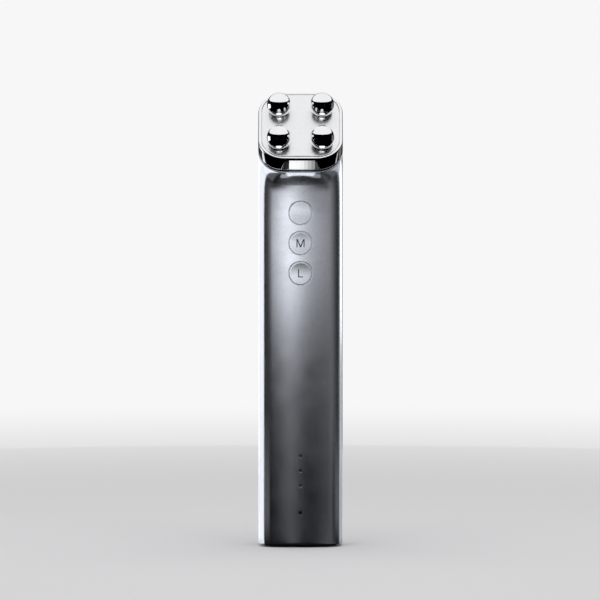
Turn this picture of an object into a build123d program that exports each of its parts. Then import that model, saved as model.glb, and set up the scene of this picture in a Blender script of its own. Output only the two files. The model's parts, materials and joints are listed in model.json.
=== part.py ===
# Facial toning device: an upright aluminium tube with gently bulged faces, whose top bends
# forwards into a chrome-rimmed head with four ball electrodes. Three push buttons and four
# indicator lights sit on the front; the electronics slide in from the lower end.
#
# Frame: millimetres, +Z up, -Y is the front. The origin lies on the ground under the middle
# of the tube.
from build123d import *

import os
from math import atan2, cos, radians, sin, sqrt, tan

os.makedirs("parts", exist_ok=True)

# ---------------------------------------------------------------- driving dimensions
# Housing: upright tube
BODY_WIDTH = 32.0            # X, across the front
BODY_DEPTH = 24.0            # Y, front to back at the middle
BODY_CORNER_R = 7.0          # upright corners, seen from above
FACE_BULGE_R = 40.0          # front and back faces, seen from above
SIDE_WALL = 1.6              # sides and back
FRONT_WALL = 2.3             # middle of the front, whose inner face is flat
INNER_CORNER_R = 5.4         # corners of the cavity
FLAT_R = 2000.0              # radius of a face that is flat to the eye
BODY_FOOT_Z = 1.0            # lower edge of the housing above the ground
FOOT_CHAMFER = 0.25          # lower outer edge

# Neck: the tube's top, bent forwards
NECK_START_Z = 137.2         # the front face leaves the upright at this height
NECK_LEAD = 3.2              # the neck's sections start this much lower
NECK_FRONT_R = 6.7           # hollow bend at the front
NECK_FRONT_RUN = 0.1         # straight run between that bend and the seam
NECK_BACK_R = 9.0            # round bend at the back
NECK_BACK_RUN = 0.41         # straight run between that bend and the seam
NECK_SECTIONS = 13
HEAD_TILT = 48.0             # degrees the head's axis leans forwards from upright
HEAD_CORNER_R = 10.0         # corners of the head's outline
HEAD_BULGE_R = 400.0         # sides of the head's outline
SEAM_CHAMFER = 0.4           # upper outer edge of the neck

# Head: seal, bezel, plate and electrodes, stacked along the head's axis from the seam
SEAL_THICKNESS = 0.6
SEAL_RECESS = 0.65           # the seal's outer edge inside the outline
SEAL_WIDTH = 0.9
BEZEL_HEIGHT = 6.77
BEZEL_RIM = 1.2              # rim round the plate
BEZEL_WALL = 2.6
BEZEL_EDGE_R = 1.0           # rounding of the bezel's outer edges
RIM_CHAMFER = 0.12           # inner edge of the rim
LEDGE_WIDTH = 3.1            # plate seat, from the outline inwards
LEDGE_THICKNESS = 0.8
LEDGE_CORNER_R = 6.1
SPIGOT_DEPTH = 1.2           # collar that centres the bezel in the housing
SPIGOT_CLEARANCE = 0.15
SPIGOT_CORNER_EASE = 0.9     # its corners are rounder than the housing's
PLATE_THICKNESS = 1.6        # at the plate's edge
PLATE_PROUD = 0.1            # the plate's edge above the rim
PLATE_GAP = 0.12
PLATE_DOME_R = 180.0
PLATE_BEVEL = 0.5
ELECTRODE_INSET_X = 7.85     # ball centres from the sides of the outline
ELECTRODE_INSET_V = 8.15     # lower ball centres from its front
ELECTRODE_PITCH_V = 16.68    # from the lower to the upper ball centres
BALL_R = 4.65
BALL_LIFT = 3.0              # ball centre above the plate's edge
SHOULDER_R = 3.0             # electrode shaft under the ball
COLLAR_WALL = 0.8
COLLAR_FLANGE = 0.35         # flange beyond the collar's sleeve
COLLAR_SINK = 0.65           # top of the sleeve below the plate's edge
SLIP = 0.05                  # radial clearance of pieces that slide or slip over each other
CARRIER_THICKNESS = 1.6
CARRIER_CLEARANCE = 0.15
CONTACT_BOARD_THICKNESS = 0.8
CONTACT_BOARD_MARGIN = 1.2   # board edge inside the carrier's
WASHER_R = 1.9
WASHER_THICKNESS = 0.3
ELECTRODE_SCREW_R = 0.8
ELECTRODE_SCREW_HEAD_R = 1.5
ELECTRODE_SCREW_HEAD = 1.0
ELECTRODE_SCREW_GRIP = 2.6   # thread inside the electrode
SCREW_CLEARANCE = 0.1

# Buttons
BUTTON_R = 4.3
BUTTON_GAP = 0.2             # round the cap
BUTTON_LAND = 2.4            # metal between two button holes
BUTTONS_BELOW_NECK = 10.4    # upper button centre below the neck's start
BUTTON_TRAVEL = 0.35
DISH_R = 30.0                # hollow in the cap's face
DISH_DEPTH = 0.25
FLANGE_LIP = 0.5             # flange beyond the hole
FLANGE_THICKNESS = 0.8
FLANGE_GAP = 0.05            # between the flange at rest and the wall
STEM_R = 1.5
RETAINER_THICKNESS = 1.5
RETAINER_POCKET_GAP = 0.2
RETAINER_RIM = 1.5
STOP_GAP = 0.1               # left between flange and retainer at full travel
SEAL_RING_WIDTH = 0.85
SEAL_RING_THICKNESS = 0.8
SWITCH_SIZE = 4.5
SWITCH_HEIGHT = 1.6
PLUNGER_R = 0.9
PLUNGER_STANDOUT = 0.6
PLUNGER_DEPTH = 0.8          # in the switch's bore at rest
BORE_SPARE = 0.15            # left in the bore at full travel

# Indicator lights
DOT_R = 0.475
DOT_LARGE_R = 0.7
DOT_LARGE_Z = 13.1
DOT_GAP_Z = 10.4             # from the large dot to the lowest small one
DOT_PITCH = 5.6
DOT_COUNT = 3
DOT_RECESS = 0.06            # light guide below the housing's face
GUIDE_WIDTH = 5.0
GUIDE_THICKNESS = 1.6
GUIDE_MARGIN = 1.8           # bar beyond the end pins
GUIDE_POST_SIZE = 1.8
LED_LENGTH = 1.6
LED_WIDTH = 0.8
LED_HEIGHT = 0.7
LED_GAP = 0.1

# Main board and what it carries
FRONT_ROOM = 7.3             # from the flat inner front face to the board
BOARD_THICKNESS = 1.0
BOARD_MARGIN = 1.4           # board edge inside the cavity's side
BOARD_BASE_GAP = 0.3
BOARD_TOP_GAP = 2.0          # below the neck's first section
BOARD_SCREW_R = 0.75
BOARD_SCREW_HEAD_R = 1.3
BOARD_SCREW_HEAD = 0.6
BOARD_SCREW_GRIP = 3.0
BOARD_SCREW_INSET = 1.6      # from the board's side edge
BOARD_SCREW_END = 5.6        # from the board's ends
CHIP_SIZE = 7.0
CHIP_HEIGHT = 0.9
COIL_SIZE = 9.5
COIL_HEIGHT = 4.5
COIL_FLANGE = 0.9
COIL_WINDING_R = 3.9
CAPACITOR_R = 2.4
CAPACITOR_HEIGHT = 4.0
CAPACITOR_PITCH = 7.0
RIBBON_PLUG_LENGTH = 9.0
RIBBON_PLUG_WIDTH = 2.0
RIBBON_PLUG_HEIGHT = 1.0
RIBBON_WIDTH = 8.0
RIBBON_THICKNESS = 0.25
RIBBON_RISE = 9.0            # upright run above the board's plug
RIBBON_LEAD = 4.5            # run along the contact board before its plug
RIBBON_BEND_R = 1.5

# Chassis and cell
CHASSIS_CLEARANCE = 0.15
CHASSIS_FLOOR = 1.2
CHASSIS_TOP_GAP = 1.0        # below the neck's first section
LOWER_BLOCK = 30.0           # chassis below the cell's bay
UPPER_BLOCK = 36.0           # chassis above the cell's bay
RELIEF_WIDTH = 16.0          # pockets that lighten the two blocks
RELIEF_END = 9.0             # solid left at the chassis's ends
CELL_WIDTH = 20.0
CELL_CORNER_R = 1.6
BAY_CLEARANCE = 0.3
PAD_THICKNESS = 0.4
PAD_LENGTH = 12.0
FOAM_THICKNESS = 1.4
FOAM_WIDTH = 12.0
FOAM_LENGTH = 30.0
PLUG_WIDTH = 6.0
PLUG_HEIGHT = 3.2
PLUG_LENGTH = 5.0
PLUG_ROOM = 5.5              # from the cell to its plug
LEAD_R = 0.5
LEAD_PITCH = 2.2

# Lower end: cap, seal, foot and charging socket
BASE_CAP_Z = 1.2
BASE_CAP_THICKNESS = 4.0
BASE_CLEARANCE = 0.08
BASE_GROOVE_DEPTH = 0.8
BASE_GROOVE_WIDTH = 1.2
FOOT_INSET = 0.7             # foot inside the cavity's outline
BASE_SCREW_X = 9.0
BASE_SCREW_R = 0.95
BASE_SCREW_HEAD_R = 1.9
BASE_SCREW_HEAD = 1.2
BASE_SCREW_GRIP = 6.0
PORT_WIDTH = 8.94
PORT_HEIGHT = 3.26
PORT_LENGTH = 7.35
PORT_WALL = 0.3
PORT_RECESS = 0.6            # mouth above the ground
PORT_CLEARANCE = 0.08
PORT_TONGUE_WIDTH = 6.7
PORT_TONGUE_THICKNESS = 0.7
PORT_TONGUE_INSET = 1.5      # tongue's tip inside the mouth
PORT_BACK = 1.5              # insulator that closes the socket
PORT_FLARE = 0.8             # foot opening round the socket

# ---------------------------------------------------------------- derived places
FRONT_Y = -BODY_DEPTH / 2
BACK_Y = BODY_DEPTH / 2
INNER_WIDTH = BODY_WIDTH - 2 * SIDE_WALL
INNER_FRONT_Y = FRONT_Y + FRONT_WALL
INNER_BACK_Y = BACK_Y - SIDE_WALL
FAN_START_Z = NECK_START_Z - NECK_LEAD

TILT = radians(HEAD_TILT)
SEAM_FRONT_Y = FRONT_Y - NECK_FRONT_R * (1 - cos(TILT)) - NECK_FRONT_RUN * sin(TILT)
SEAM_FRONT_Z = NECK_START_Z + NECK_FRONT_R * sin(TILT) + NECK_FRONT_RUN * cos(TILT)
SEAM_BACK_Y = BACK_Y - NECK_BACK_R * (1 - cos(TILT)) - NECK_BACK_RUN * sin(TILT)
SEAM_BACK_Z = SEAM_FRONT_Z + (SEAM_BACK_Y - SEAM_FRONT_Y) * tan(TILT)
NECK_BACK_Z = SEAM_BACK_Z - NECK_BACK_R * sin(TILT) - NECK_BACK_RUN * cos(TILT)
HEAD_LENGTH = (SEAM_BACK_Y - SEAM_FRONT_Y) / cos(TILT)
HEAD_CENTRE = Vector(0, (SEAM_FRONT_Y + SEAM_BACK_Y) / 2, (SEAM_FRONT_Z + SEAM_BACK_Z) / 2)
HEAD_NORMAL = Vector(0, -sin(TILT), cos(TILT))
HEAD_AXIS = Axis(HEAD_CENTRE, HEAD_NORMAL)

# All planes of the neck's sections pass through one line, in front of the housing
PIVOT_Y = SEAM_FRONT_Y - (SEAM_FRONT_Z - FAN_START_Z) / tan(TILT)

SPIGOT_INSET = SIDE_WALL + SPIGOT_CLEARANCE
BEZEL_BASE_H = SEAL_THICKNESS
BEZEL_TOP_H = BEZEL_BASE_H + BEZEL_HEIGHT
PLATE_EDGE_H = BEZEL_TOP_H + PLATE_PROUD
PLATE_BASE_H = PLATE_EDGE_H - PLATE_THICKNESS
LEDGE_BASE_H = PLATE_BASE_H - LEDGE_THICKNESS
CARRIER_BASE_H = LEDGE_BASE_H - CARRIER_THICKNESS
CONTACT_BASE_H = CARRIER_BASE_H - CONTACT_BOARD_THICKNESS
WASHER_BASE_H = CONTACT_BASE_H - WASHER_THICKNESS
BALL_H = PLATE_EDGE_H + BALL_LIFT
ELECTRODE_X = BODY_WIDTH / 2 - ELECTRODE_INSET_X
LOWER_V = ELECTRODE_INSET_V - HEAD_LENGTH / 2
UPPER_V = LOWER_V + ELECTRODE_PITCH_V
ELECTRODE_PLACES = {
    "upper_left": (-ELECTRODE_X, UPPER_V),
    "upper_right": (ELECTRODE_X, UPPER_V),
    "lower_left": (-ELECTRODE_X, LOWER_V),
    "lower_right": (ELECTRODE_X, LOWER_V),
}
COLLAR_BORE_R = SHOULDER_R + SLIP
COLLAR_R = COLLAR_BORE_R + COLLAR_WALL
PLATE_HOLE_R = COLLAR_R + SLIP

BUTTON_HOLE_R = BUTTON_R + BUTTON_GAP
BUTTON_PITCH = 2 * BUTTON_HOLE_R + BUTTON_LAND
POWER_Z = NECK_START_Z - BUTTONS_BELOW_NECK
BUTTON_HEIGHTS = {
    "power": POWER_Z,
    "mode": POWER_Z - BUTTON_PITCH,
    "level": POWER_Z - 2 * BUTTON_PITCH,
}
BUTTON_PLACES = [(0, height) for height in BUTTON_HEIGHTS.values()]
FLANGE_R = BUTTON_HOLE_R + FLANGE_LIP
FLANGE_FRONT_Y = INNER_FRONT_Y + FLANGE_GAP
FLANGE_BACK_Y = FLANGE_FRONT_Y + FLANGE_THICKNESS
RETAINER_FRONT_Y = FLANGE_BACK_Y + BUTTON_TRAVEL + STOP_GAP
RETAINER_BACK_Y = RETAINER_FRONT_Y + RETAINER_THICKNESS
BOARD_FRONT_Y = INNER_FRONT_Y + FRONT_ROOM
BOARD_BACK_Y = BOARD_FRONT_Y + BOARD_THICKNESS
BOARD_MID_Y = BOARD_FRONT_Y + BOARD_THICKNESS / 2
SWITCH_FRONT_Y = BOARD_FRONT_Y - SWITCH_HEIGHT
STEM_END_Y = SWITCH_FRONT_Y - PLUNGER_STANDOUT

DOT_PLACES = [(DOT_LARGE_Z, DOT_LARGE_R)]
DOT_PLACES += [(DOT_LARGE_Z + DOT_GAP_Z + DOT_PITCH * i, DOT_R) for i in range(DOT_COUNT)]
GUIDE_LOW_Z = DOT_LARGE_Z - GUIDE_MARGIN
GUIDE_HIGH_Z = DOT_PLACES[-1][0] + GUIDE_MARGIN
GUIDE_FRONT_Y = INNER_FRONT_Y + FLANGE_GAP
LED_FRONT_Y = BOARD_FRONT_Y - LED_HEIGHT

BASE_CAP_TOP_Z = BASE_CAP_Z + BASE_CAP_THICKNESS
BOARD_LOW_Z = BASE_CAP_TOP_Z + BOARD_BASE_GAP
BOARD_HIGH_Z = FAN_START_Z - BOARD_TOP_GAP
BOARD_WIDTH = INNER_WIDTH - 2 * BOARD_MARGIN
BOARD_SCREW_X = BOARD_WIDTH / 2 - BOARD_SCREW_INSET
BOARD_SCREW_PLACES = [
    (side * BOARD_SCREW_X, height)
    for side in (-1, 1)
    for height in (BOARD_LOW_Z + BOARD_SCREW_END, BOARD_HIGH_Z - BOARD_SCREW_END)
]
PARTS_SPAN_Z = BUTTON_HEIGHTS["level"] - GUIDE_HIGH_Z
CHIP_Z = GUIDE_HIGH_Z + PARTS_SPAN_Z * 0.75
COIL_Z = GUIDE_HIGH_Z + PARTS_SPAN_Z * 0.5
CAPACITOR_Z = GUIDE_HIGH_Z + PARTS_SPAN_Z * 0.25

CHASSIS_LOW_Z = BASE_CAP_TOP_Z
CHASSIS_HIGH_Z = FAN_START_Z - CHASSIS_TOP_GAP
CHASSIS_FLOOR_Y = BOARD_BACK_Y + CHASSIS_FLOOR
BAY_LOW_Z = CHASSIS_LOW_Z + LOWER_BLOCK
BAY_HIGH_Z = CHASSIS_HIGH_Z - UPPER_BLOCK
CELL_LOW_Z = BAY_LOW_Z + BAY_CLEARANCE
CELL_HIGH_Z = BAY_HIGH_Z - BAY_CLEARANCE
CELL_MID_Z = (CELL_LOW_Z + CELL_HIGH_Z) / 2
CELL_FRONT_Y = CHASSIS_FLOOR_Y + PAD_THICKNESS
CELL_BACK_Y = INNER_BACK_Y - FLANGE_GAP - FOAM_THICKNESS
CELL_THICKNESS = CELL_BACK_Y - CELL_FRONT_Y
PLUG_LOW_Z = CELL_HIGH_Z + PLUG_ROOM
BASE_SCREW_Y = (BOARD_BACK_Y + INNER_BACK_Y) / 2
BASE_SCREW_PLACES = [(-BASE_SCREW_X, BASE_SCREW_Y), (BASE_SCREW_X, BASE_SCREW_Y)]
BASE_SCREW_SEAT_Z = BASE_CAP_Z + BASE_SCREW_HEAD + SCREW_CLEARANCE
PORT_TOP_Z = PORT_RECESS + PORT_LENGTH


# ---------------------------------------------------------------- shared shapes
def save(piece, label):
    """Label a finished piece and write its STEP file."""
    piece.part.label = label
    export_step(piece.part, f"parts/{label}.step")


def corner_arc(centre, start, end, radius):
    """Arc of a corner round its centre, from start to end."""
    middle_way = (start - centre) + (end - centre)
    ThreePointArc(start, centre + middle_way.normalized() * radius, end)


def tube_outline(width, front, back, corner_r, front_r, back_r, mode=Mode.ADD):
    """Face of the tube's section: straight sides, bulged front and back, round corners.

    front and back are the places of the two bulged faces at the middle, along local Y.
    Each corner arc touches its bulge and its side.
    """
    half = width / 2
    reach = half - corner_r
    front_centre = Vector(reach, front + front_r - sqrt((front_r - corner_r) ** 2 - reach ** 2))
    back_centre = Vector(reach, back - back_r + sqrt((back_r - corner_r) ** 2 - reach ** 2))
    front_hub = Vector(0, front + front_r)
    back_hub = Vector(0, back - back_r)
    front_touch = front_hub + (front_centre - front_hub).normalized() * front_r
    back_touch = back_hub + (back_centre - back_hub).normalized() * back_r

    def flip(point):
        return Vector(-point.X, point.Y)

    front_side = Vector(half, front_centre.Y)
    back_side = Vector(half, back_centre.Y)
    with BuildLine() as outline:
        ThreePointArc(flip(front_touch), Vector(0, front), front_touch)
        corner_arc(front_centre, front_touch, front_side, corner_r)
        Line(front_side, back_side)
        corner_arc(back_centre, back_side, back_touch, corner_r)
        ThreePointArc(back_touch, Vector(0, back), flip(back_touch))
        corner_arc(flip(back_centre), flip(back_touch), flip(back_side), corner_r)
        Line(flip(back_side), flip(front_side))
        corner_arc(flip(front_centre), flip(front_side), flip(front_touch), corner_r)
    make_face(outline.edges(), mode=mode)


def body_outline():
    """Outer section of the upright tube."""
    tube_outline(BODY_WIDTH, FRONT_Y, BACK_Y, BODY_CORNER_R, FACE_BULGE_R, FACE_BULGE_R)


def cavity_outline(inset=0.0, mode=Mode.ADD):
    """Section of the upright tube's cavity, drawn smaller by inset all round."""
    tube_outline(
        INNER_WIDTH - 2 * inset,
        INNER_FRONT_Y + inset,
        INNER_BACK_Y - inset,
        INNER_CORNER_R - inset,
        FLAT_R,
        FACE_BULGE_R - SIDE_WALL - inset,
        mode,
    )


def head_outline(inset=0.0):
    """Outline of the head, drawn smaller by inset all round."""
    tube_outline(
        BODY_WIDTH - 2 * inset,
        -HEAD_LENGTH / 2 + inset,
        HEAD_LENGTH / 2 - inset,
        HEAD_CORNER_R - inset,
        HEAD_BULGE_R,
        HEAD_BULGE_R,
    )


def head_rectangle(inset, corner_r=None, mode=Mode.ADD):
    """Rounded rectangle that lies inside the head's outline by inset all round."""
    RectangleRounded(
        BODY_WIDTH - 2 * inset,
        HEAD_LENGTH - 2 * inset,
        corner_r or HEAD_CORNER_R - inset,
        mode=mode,
    )


def head_plane(height):
    """Plane across the head at a height above the seam; local Y runs up the head's slope."""
    return Plane(HEAD_CENTRE + HEAD_NORMAL * height, x_dir=(1, 0, 0), z_dir=HEAD_NORMAL)


def front_plane(y):
    """Upright plane at y that faces the front; local X is X and local Y is Z."""
    return Plane.XZ.offset(-y)


def level(z):
    """Level plane at height z."""
    return Plane.XY.offset(z)


def blend(start, end, share):
    """Value between start and end, eased at both ends."""
    return start + (end - start) * share * share * (3 - 2 * share)


def neck_crossing(lean, face_y, bend_z, bend_r):
    """Where a section plane at angle lean meets the front or back profile of the neck.

    The profile runs upright at face_y to bend_z, follows an arc of bend_r forwards and ends
    in a straight run along the head's axis. Returns the distance from the pivot line and
    the angle between the plane and the profile's normal.
    """
    upright = (face_y - PIVOT_Y) / cos(lean)
    if FAN_START_Z + upright * sin(lean) <= bend_z:
        return upright, lean
    hub_y = face_y - bend_r - PIVOT_Y
    hub_z = bend_z - FAN_START_Z
    along = hub_y * cos(lean) + hub_z * sin(lean)
    reach = along + sqrt(along ** 2 - hub_y ** 2 - hub_z ** 2 + bend_r ** 2)
    turn = atan2(reach * sin(lean) - hub_z, reach * cos(lean) - hub_y)
    if turn <= TILT:
        return reach, lean - turn
    end_y = hub_y + bend_r * cos(TILT)
    end_z = hub_z + bend_r * sin(TILT)
    run = (end_y * cos(TILT) + end_z * sin(TILT)) / cos(TILT - lean)
    return run, TILT - lean


def neck_sections(inner):
    """The neck's sections, outer or inner, on planes that fan out from the pivot line."""
    sections = []
    for index in range(NECK_SECTIONS):
        share = index / (NECK_SECTIONS - 1)
        lean = TILT * share
        front, front_skew = neck_crossing(lean, FRONT_Y, NECK_START_Z, NECK_FRONT_R)
        back, back_skew = neck_crossing(lean, BACK_Y, NECK_BACK_Z, NECK_BACK_R)
        corner_r = blend(BODY_CORNER_R, HEAD_CORNER_R, share)
        bulge_r = 1 / blend(1 / FACE_BULGE_R, 1 / HEAD_BULGE_R, share)
        plane = Plane((0, PIVOT_Y, FAN_START_Z), x_dir=(1, 0, 0), z_dir=(0, -sin(lean), cos(lean)))
        with BuildSketch(plane) as section:
            if inner:
                wall = blend(FRONT_WALL, SIDE_WALL, share)
                inner_r = blend(INNER_CORNER_R, HEAD_CORNER_R - SIDE_WALL, share)
                flat_r = 1 / blend(1 / FLAT_R, 1 / HEAD_BULGE_R, share)
                tube_outline(
                    INNER_WIDTH,
                    front + wall / cos(front_skew),
                    back - SIDE_WALL / cos(back_skew),
                    inner_r,
                    flat_r,
                    bulge_r - SIDE_WALL,
                )
            else:
                tube_outline(BODY_WIDTH, front, back, corner_r, bulge_r, bulge_r)
        sections.append(section.sketch)
    return sections


# ---------------------------------------------------------------- housing
with BuildPart() as housing:
    with BuildSketch(level(BODY_FOOT_Z)):
        body_outline()
    extrude(amount=FAN_START_Z - BODY_FOOT_Z)
    loft(neck_sections(inner=False))
    seam_edges = housing.faces().sort_by(HEAD_AXIS)[-1].outer_wire().edges()
    foot_edges = housing.faces().sort_by(Axis.Z)[0].outer_wire().edges()
    chamfer(seam_edges, SEAM_CHAMFER)
    chamfer(foot_edges, FOOT_CHAMFER)
    with BuildSketch(level(BODY_FOOT_Z)):
        cavity_outline()
    extrude(amount=FAN_START_Z - BODY_FOOT_Z, mode=Mode.SUBTRACT)
    loft(neck_sections(inner=True), mode=Mode.SUBTRACT)
    with BuildSketch(front_plane(INNER_FRONT_Y)):
        with Locations(*BUTTON_PLACES):
            Circle(BUTTON_HOLE_R)
        for height, radius in DOT_PLACES:
            with Locations((0, height)):
                Circle(radius + SLIP)
    extrude(amount=2 * FRONT_WALL, both=True, mode=Mode.SUBTRACT)
save(housing, "housing")


# ---------------------------------------------------------------- head
with BuildPart() as head_seal:
    with BuildSketch(head_plane(0)):
        head_outline(SEAL_RECESS)
        head_rectangle(SEAL_RECESS + SEAL_WIDTH, mode=Mode.SUBTRACT)
    extrude(amount=SEAL_THICKNESS)
save(head_seal, "head_seal")


with BuildPart() as head_bezel:
    with BuildSketch(head_plane(BEZEL_BASE_H)):
        head_outline()
    extrude(amount=BEZEL_HEIGHT)
    rim_edges = head_bezel.faces().sort_by(HEAD_AXIS)[-1].outer_wire().edges()
    base_edges = head_bezel.faces().sort_by(HEAD_AXIS)[0].outer_wire().edges()
    fillet(rim_edges + base_edges, BEZEL_EDGE_R)
    with BuildSketch(head_plane(-SPIGOT_DEPTH)):
        head_rectangle(SPIGOT_INSET, HEAD_CORNER_R - SPIGOT_INSET + SPIGOT_CORNER_EASE)
    extrude(amount=SPIGOT_DEPTH + BEZEL_BASE_H)
    with BuildSketch(head_plane(-SPIGOT_DEPTH)):
        head_rectangle(BEZEL_WALL)
    extrude(amount=SPIGOT_DEPTH + LEDGE_BASE_H, mode=Mode.SUBTRACT)
    with BuildSketch(head_plane(LEDGE_BASE_H)):
        head_rectangle(LEDGE_WIDTH, LEDGE_CORNER_R)
    extrude(amount=LEDGE_THICKNESS, mode=Mode.SUBTRACT)
    with BuildSketch(head_plane(PLATE_BASE_H)):
        head_rectangle(BEZEL_RIM)
    extrude(amount=BEZEL_TOP_H - PLATE_BASE_H, mode=Mode.SUBTRACT)
    pocket_edges = head_bezel.faces().sort_by(HEAD_AXIS)[-1].inner_wires()[0].edges()
    chamfer(pocket_edges, RIM_CHAMFER)
save(head_bezel, "head_bezel")

PLATE_INSET = BEZEL_RIM + PLATE_GAP
PLATE_HALF = HEAD_LENGTH / 2 - PLATE_INSET
PLATE_RISE = PLATE_DOME_R - sqrt(PLATE_DOME_R ** 2 - PLATE_HALF ** 2)
with BuildPart() as electrode_plate:
    with BuildSketch(head_plane(PLATE_BASE_H)):
        head_rectangle(PLATE_INSET)
    extrude(amount=PLATE_THICKNESS + PLATE_RISE)
    with Locations(head_plane(PLATE_EDGE_H + PLATE_RISE - PLATE_DOME_R)):
        Sphere(PLATE_DOME_R, mode=Mode.INTERSECT)
    dome_edges = electrode_plate.faces().sort_by(HEAD_AXIS)[-1].outer_wire().edges()
    chamfer(dome_edges, PLATE_BEVEL)
    with BuildSketch(head_plane(PLATE_BASE_H)):
        with Locations(*ELECTRODE_PLACES.values()):
            Circle(PLATE_HOLE_R)
    extrude(amount=PLATE_THICKNESS + PLATE_RISE, mode=Mode.SUBTRACT)
save(electrode_plate, "electrode_plate")

for place_name, place in ELECTRODE_PLACES.items():
    with BuildPart() as electrode:
        with BuildSketch(head_plane(LEDGE_BASE_H)):
            with Locations(place):
                Circle(SHOULDER_R)
        extrude(amount=BALL_H - LEDGE_BASE_H)
        with Locations(head_plane(BALL_H)):
            with Locations(place):
                Sphere(BALL_R)
        with BuildSketch(head_plane(LEDGE_BASE_H)):
            with Locations(place):
                Circle(ELECTRODE_SCREW_R)
        extrude(amount=ELECTRODE_SCREW_GRIP, mode=Mode.SUBTRACT)
    save(electrode, f"electrode_{place_name}")

with BuildPart() as electrode_collars:
    with BuildSketch(head_plane(LEDGE_BASE_H)):
        with Locations(*ELECTRODE_PLACES.values()):
            Circle(COLLAR_R + COLLAR_FLANGE)
    extrude(amount=LEDGE_THICKNESS)
    with BuildSketch(head_plane(PLATE_BASE_H)):
        with Locations(*ELECTRODE_PLACES.values()):
            Circle(COLLAR_R)
    extrude(amount=PLATE_THICKNESS - COLLAR_SINK)
    with BuildSketch(head_plane(LEDGE_BASE_H)):
        with Locations(*ELECTRODE_PLACES.values()):
            Circle(COLLAR_BORE_R)
    extrude(amount=LEDGE_THICKNESS + PLATE_THICKNESS, mode=Mode.SUBTRACT)
save(electrode_collars, "electrode_collars")


def screw_holes(places, radius):
    """Circles at places, drawn as holes through the current sketch."""
    with Locations(*places):
        Circle(radius, mode=Mode.SUBTRACT)


with BuildPart() as electrode_carrier:
    with BuildSketch(head_plane(CARRIER_BASE_H)):
        head_rectangle(BEZEL_WALL + CARRIER_CLEARANCE)
        screw_holes(ELECTRODE_PLACES.values(), ELECTRODE_SCREW_R + SCREW_CLEARANCE)
    extrude(amount=CARRIER_THICKNESS)
save(electrode_carrier, "electrode_carrier")

with BuildPart() as contact_board:
    with BuildSketch(head_plane(CONTACT_BASE_H)):
        head_rectangle(BEZEL_WALL + CARRIER_CLEARANCE + CONTACT_BOARD_MARGIN)
        screw_holes(ELECTRODE_PLACES.values(), ELECTRODE_SCREW_R + SCREW_CLEARANCE)
    extrude(amount=CONTACT_BOARD_THICKNESS)
save(contact_board, "contact_board")

with BuildPart() as contact_washers:
    with BuildSketch(head_plane(WASHER_BASE_H)):
        with Locations(*ELECTRODE_PLACES.values()):
            Circle(WASHER_R)
        screw_holes(ELECTRODE_PLACES.values(), ELECTRODE_SCREW_R + SCREW_CLEARANCE)
    extrude(amount=WASHER_THICKNESS)
save(contact_washers, "contact_washers")

with BuildPart() as electrode_screws:
    with BuildSketch(head_plane(WASHER_BASE_H - ELECTRODE_SCREW_HEAD)):
        with Locations(*ELECTRODE_PLACES.values()):
            Circle(ELECTRODE_SCREW_HEAD_R)
    extrude(amount=ELECTRODE_SCREW_HEAD)
    with BuildSketch(head_plane(WASHER_BASE_H)):
        with Locations(*ELECTRODE_PLACES.values()):
            Circle(ELECTRODE_SCREW_R)
    extrude(amount=LEDGE_BASE_H - WASHER_BASE_H + ELECTRODE_SCREW_GRIP - SCREW_CLEARANCE)
    with BuildSketch(head_plane(WASHER_BASE_H - ELECTRODE_SCREW_HEAD)):
        with Locations(*ELECTRODE_PLACES.values()):
            RegularPolygon(ELECTRODE_SCREW_R, 6)
    extrude(amount=ELECTRODE_SCREW_HEAD / 2, mode=Mode.SUBTRACT)
save(electrode_screws, "electrode_screws")

# ---------------------------------------------------------------- buttons and their switches
for button_name, height in BUTTON_HEIGHTS.items():
    with BuildPart() as cap:
        with BuildSketch(front_plane(INNER_FRONT_Y)):
            with Locations((0, height)):
                Circle(BUTTON_R)
        extrude(amount=2 * FRONT_WALL)
        with BuildSketch(level(height - BODY_WIDTH / 2)):
            body_outline()
        extrude(amount=BODY_WIDTH, mode=Mode.INTERSECT)
        with Locations((0, FRONT_Y + DISH_DEPTH - DISH_R, height)):
            Sphere(DISH_R, mode=Mode.SUBTRACT)
        with BuildSketch(front_plane(FLANGE_FRONT_Y)):
            with Locations((0, height)):
                Circle(BUTTON_R)
        extrude(amount=FLANGE_GAP)
        with BuildSketch(front_plane(FLANGE_BACK_Y)):
            with Locations((0, height)):
                Circle(FLANGE_R)
        extrude(amount=FLANGE_THICKNESS)
        with BuildSketch(front_plane(STEM_END_Y)):
            with Locations((0, height)):
                Circle(STEM_R)
        extrude(amount=STEM_END_Y - FLANGE_BACK_Y)
    save(cap, f"{button_name}_button")

    with BuildPart() as plunger:
        with BuildSketch(front_plane(SWITCH_FRONT_Y + PLUNGER_DEPTH)):
            with Locations((0, height)):
                Circle(PLUNGER_R)
        extrude(amount=PLUNGER_DEPTH + PLUNGER_STANDOUT)
    save(plunger, f"{button_name}_plunger")

    with BuildPart() as switch:
        with BuildSketch(front_plane(BOARD_FRONT_Y)):
            with Locations((0, height)):
                Rectangle(SWITCH_SIZE, SWITCH_SIZE)
        extrude(amount=SWITCH_HEIGHT)
        with BuildSketch(front_plane(SWITCH_FRONT_Y)):
            with Locations((0, height)):
                Circle(PLUNGER_R + SLIP)
        extrude(amount=-(PLUNGER_DEPTH + BUTTON_TRAVEL + BORE_SPARE), mode=Mode.SUBTRACT)
    save(switch, f"{button_name}_switch")

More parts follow.
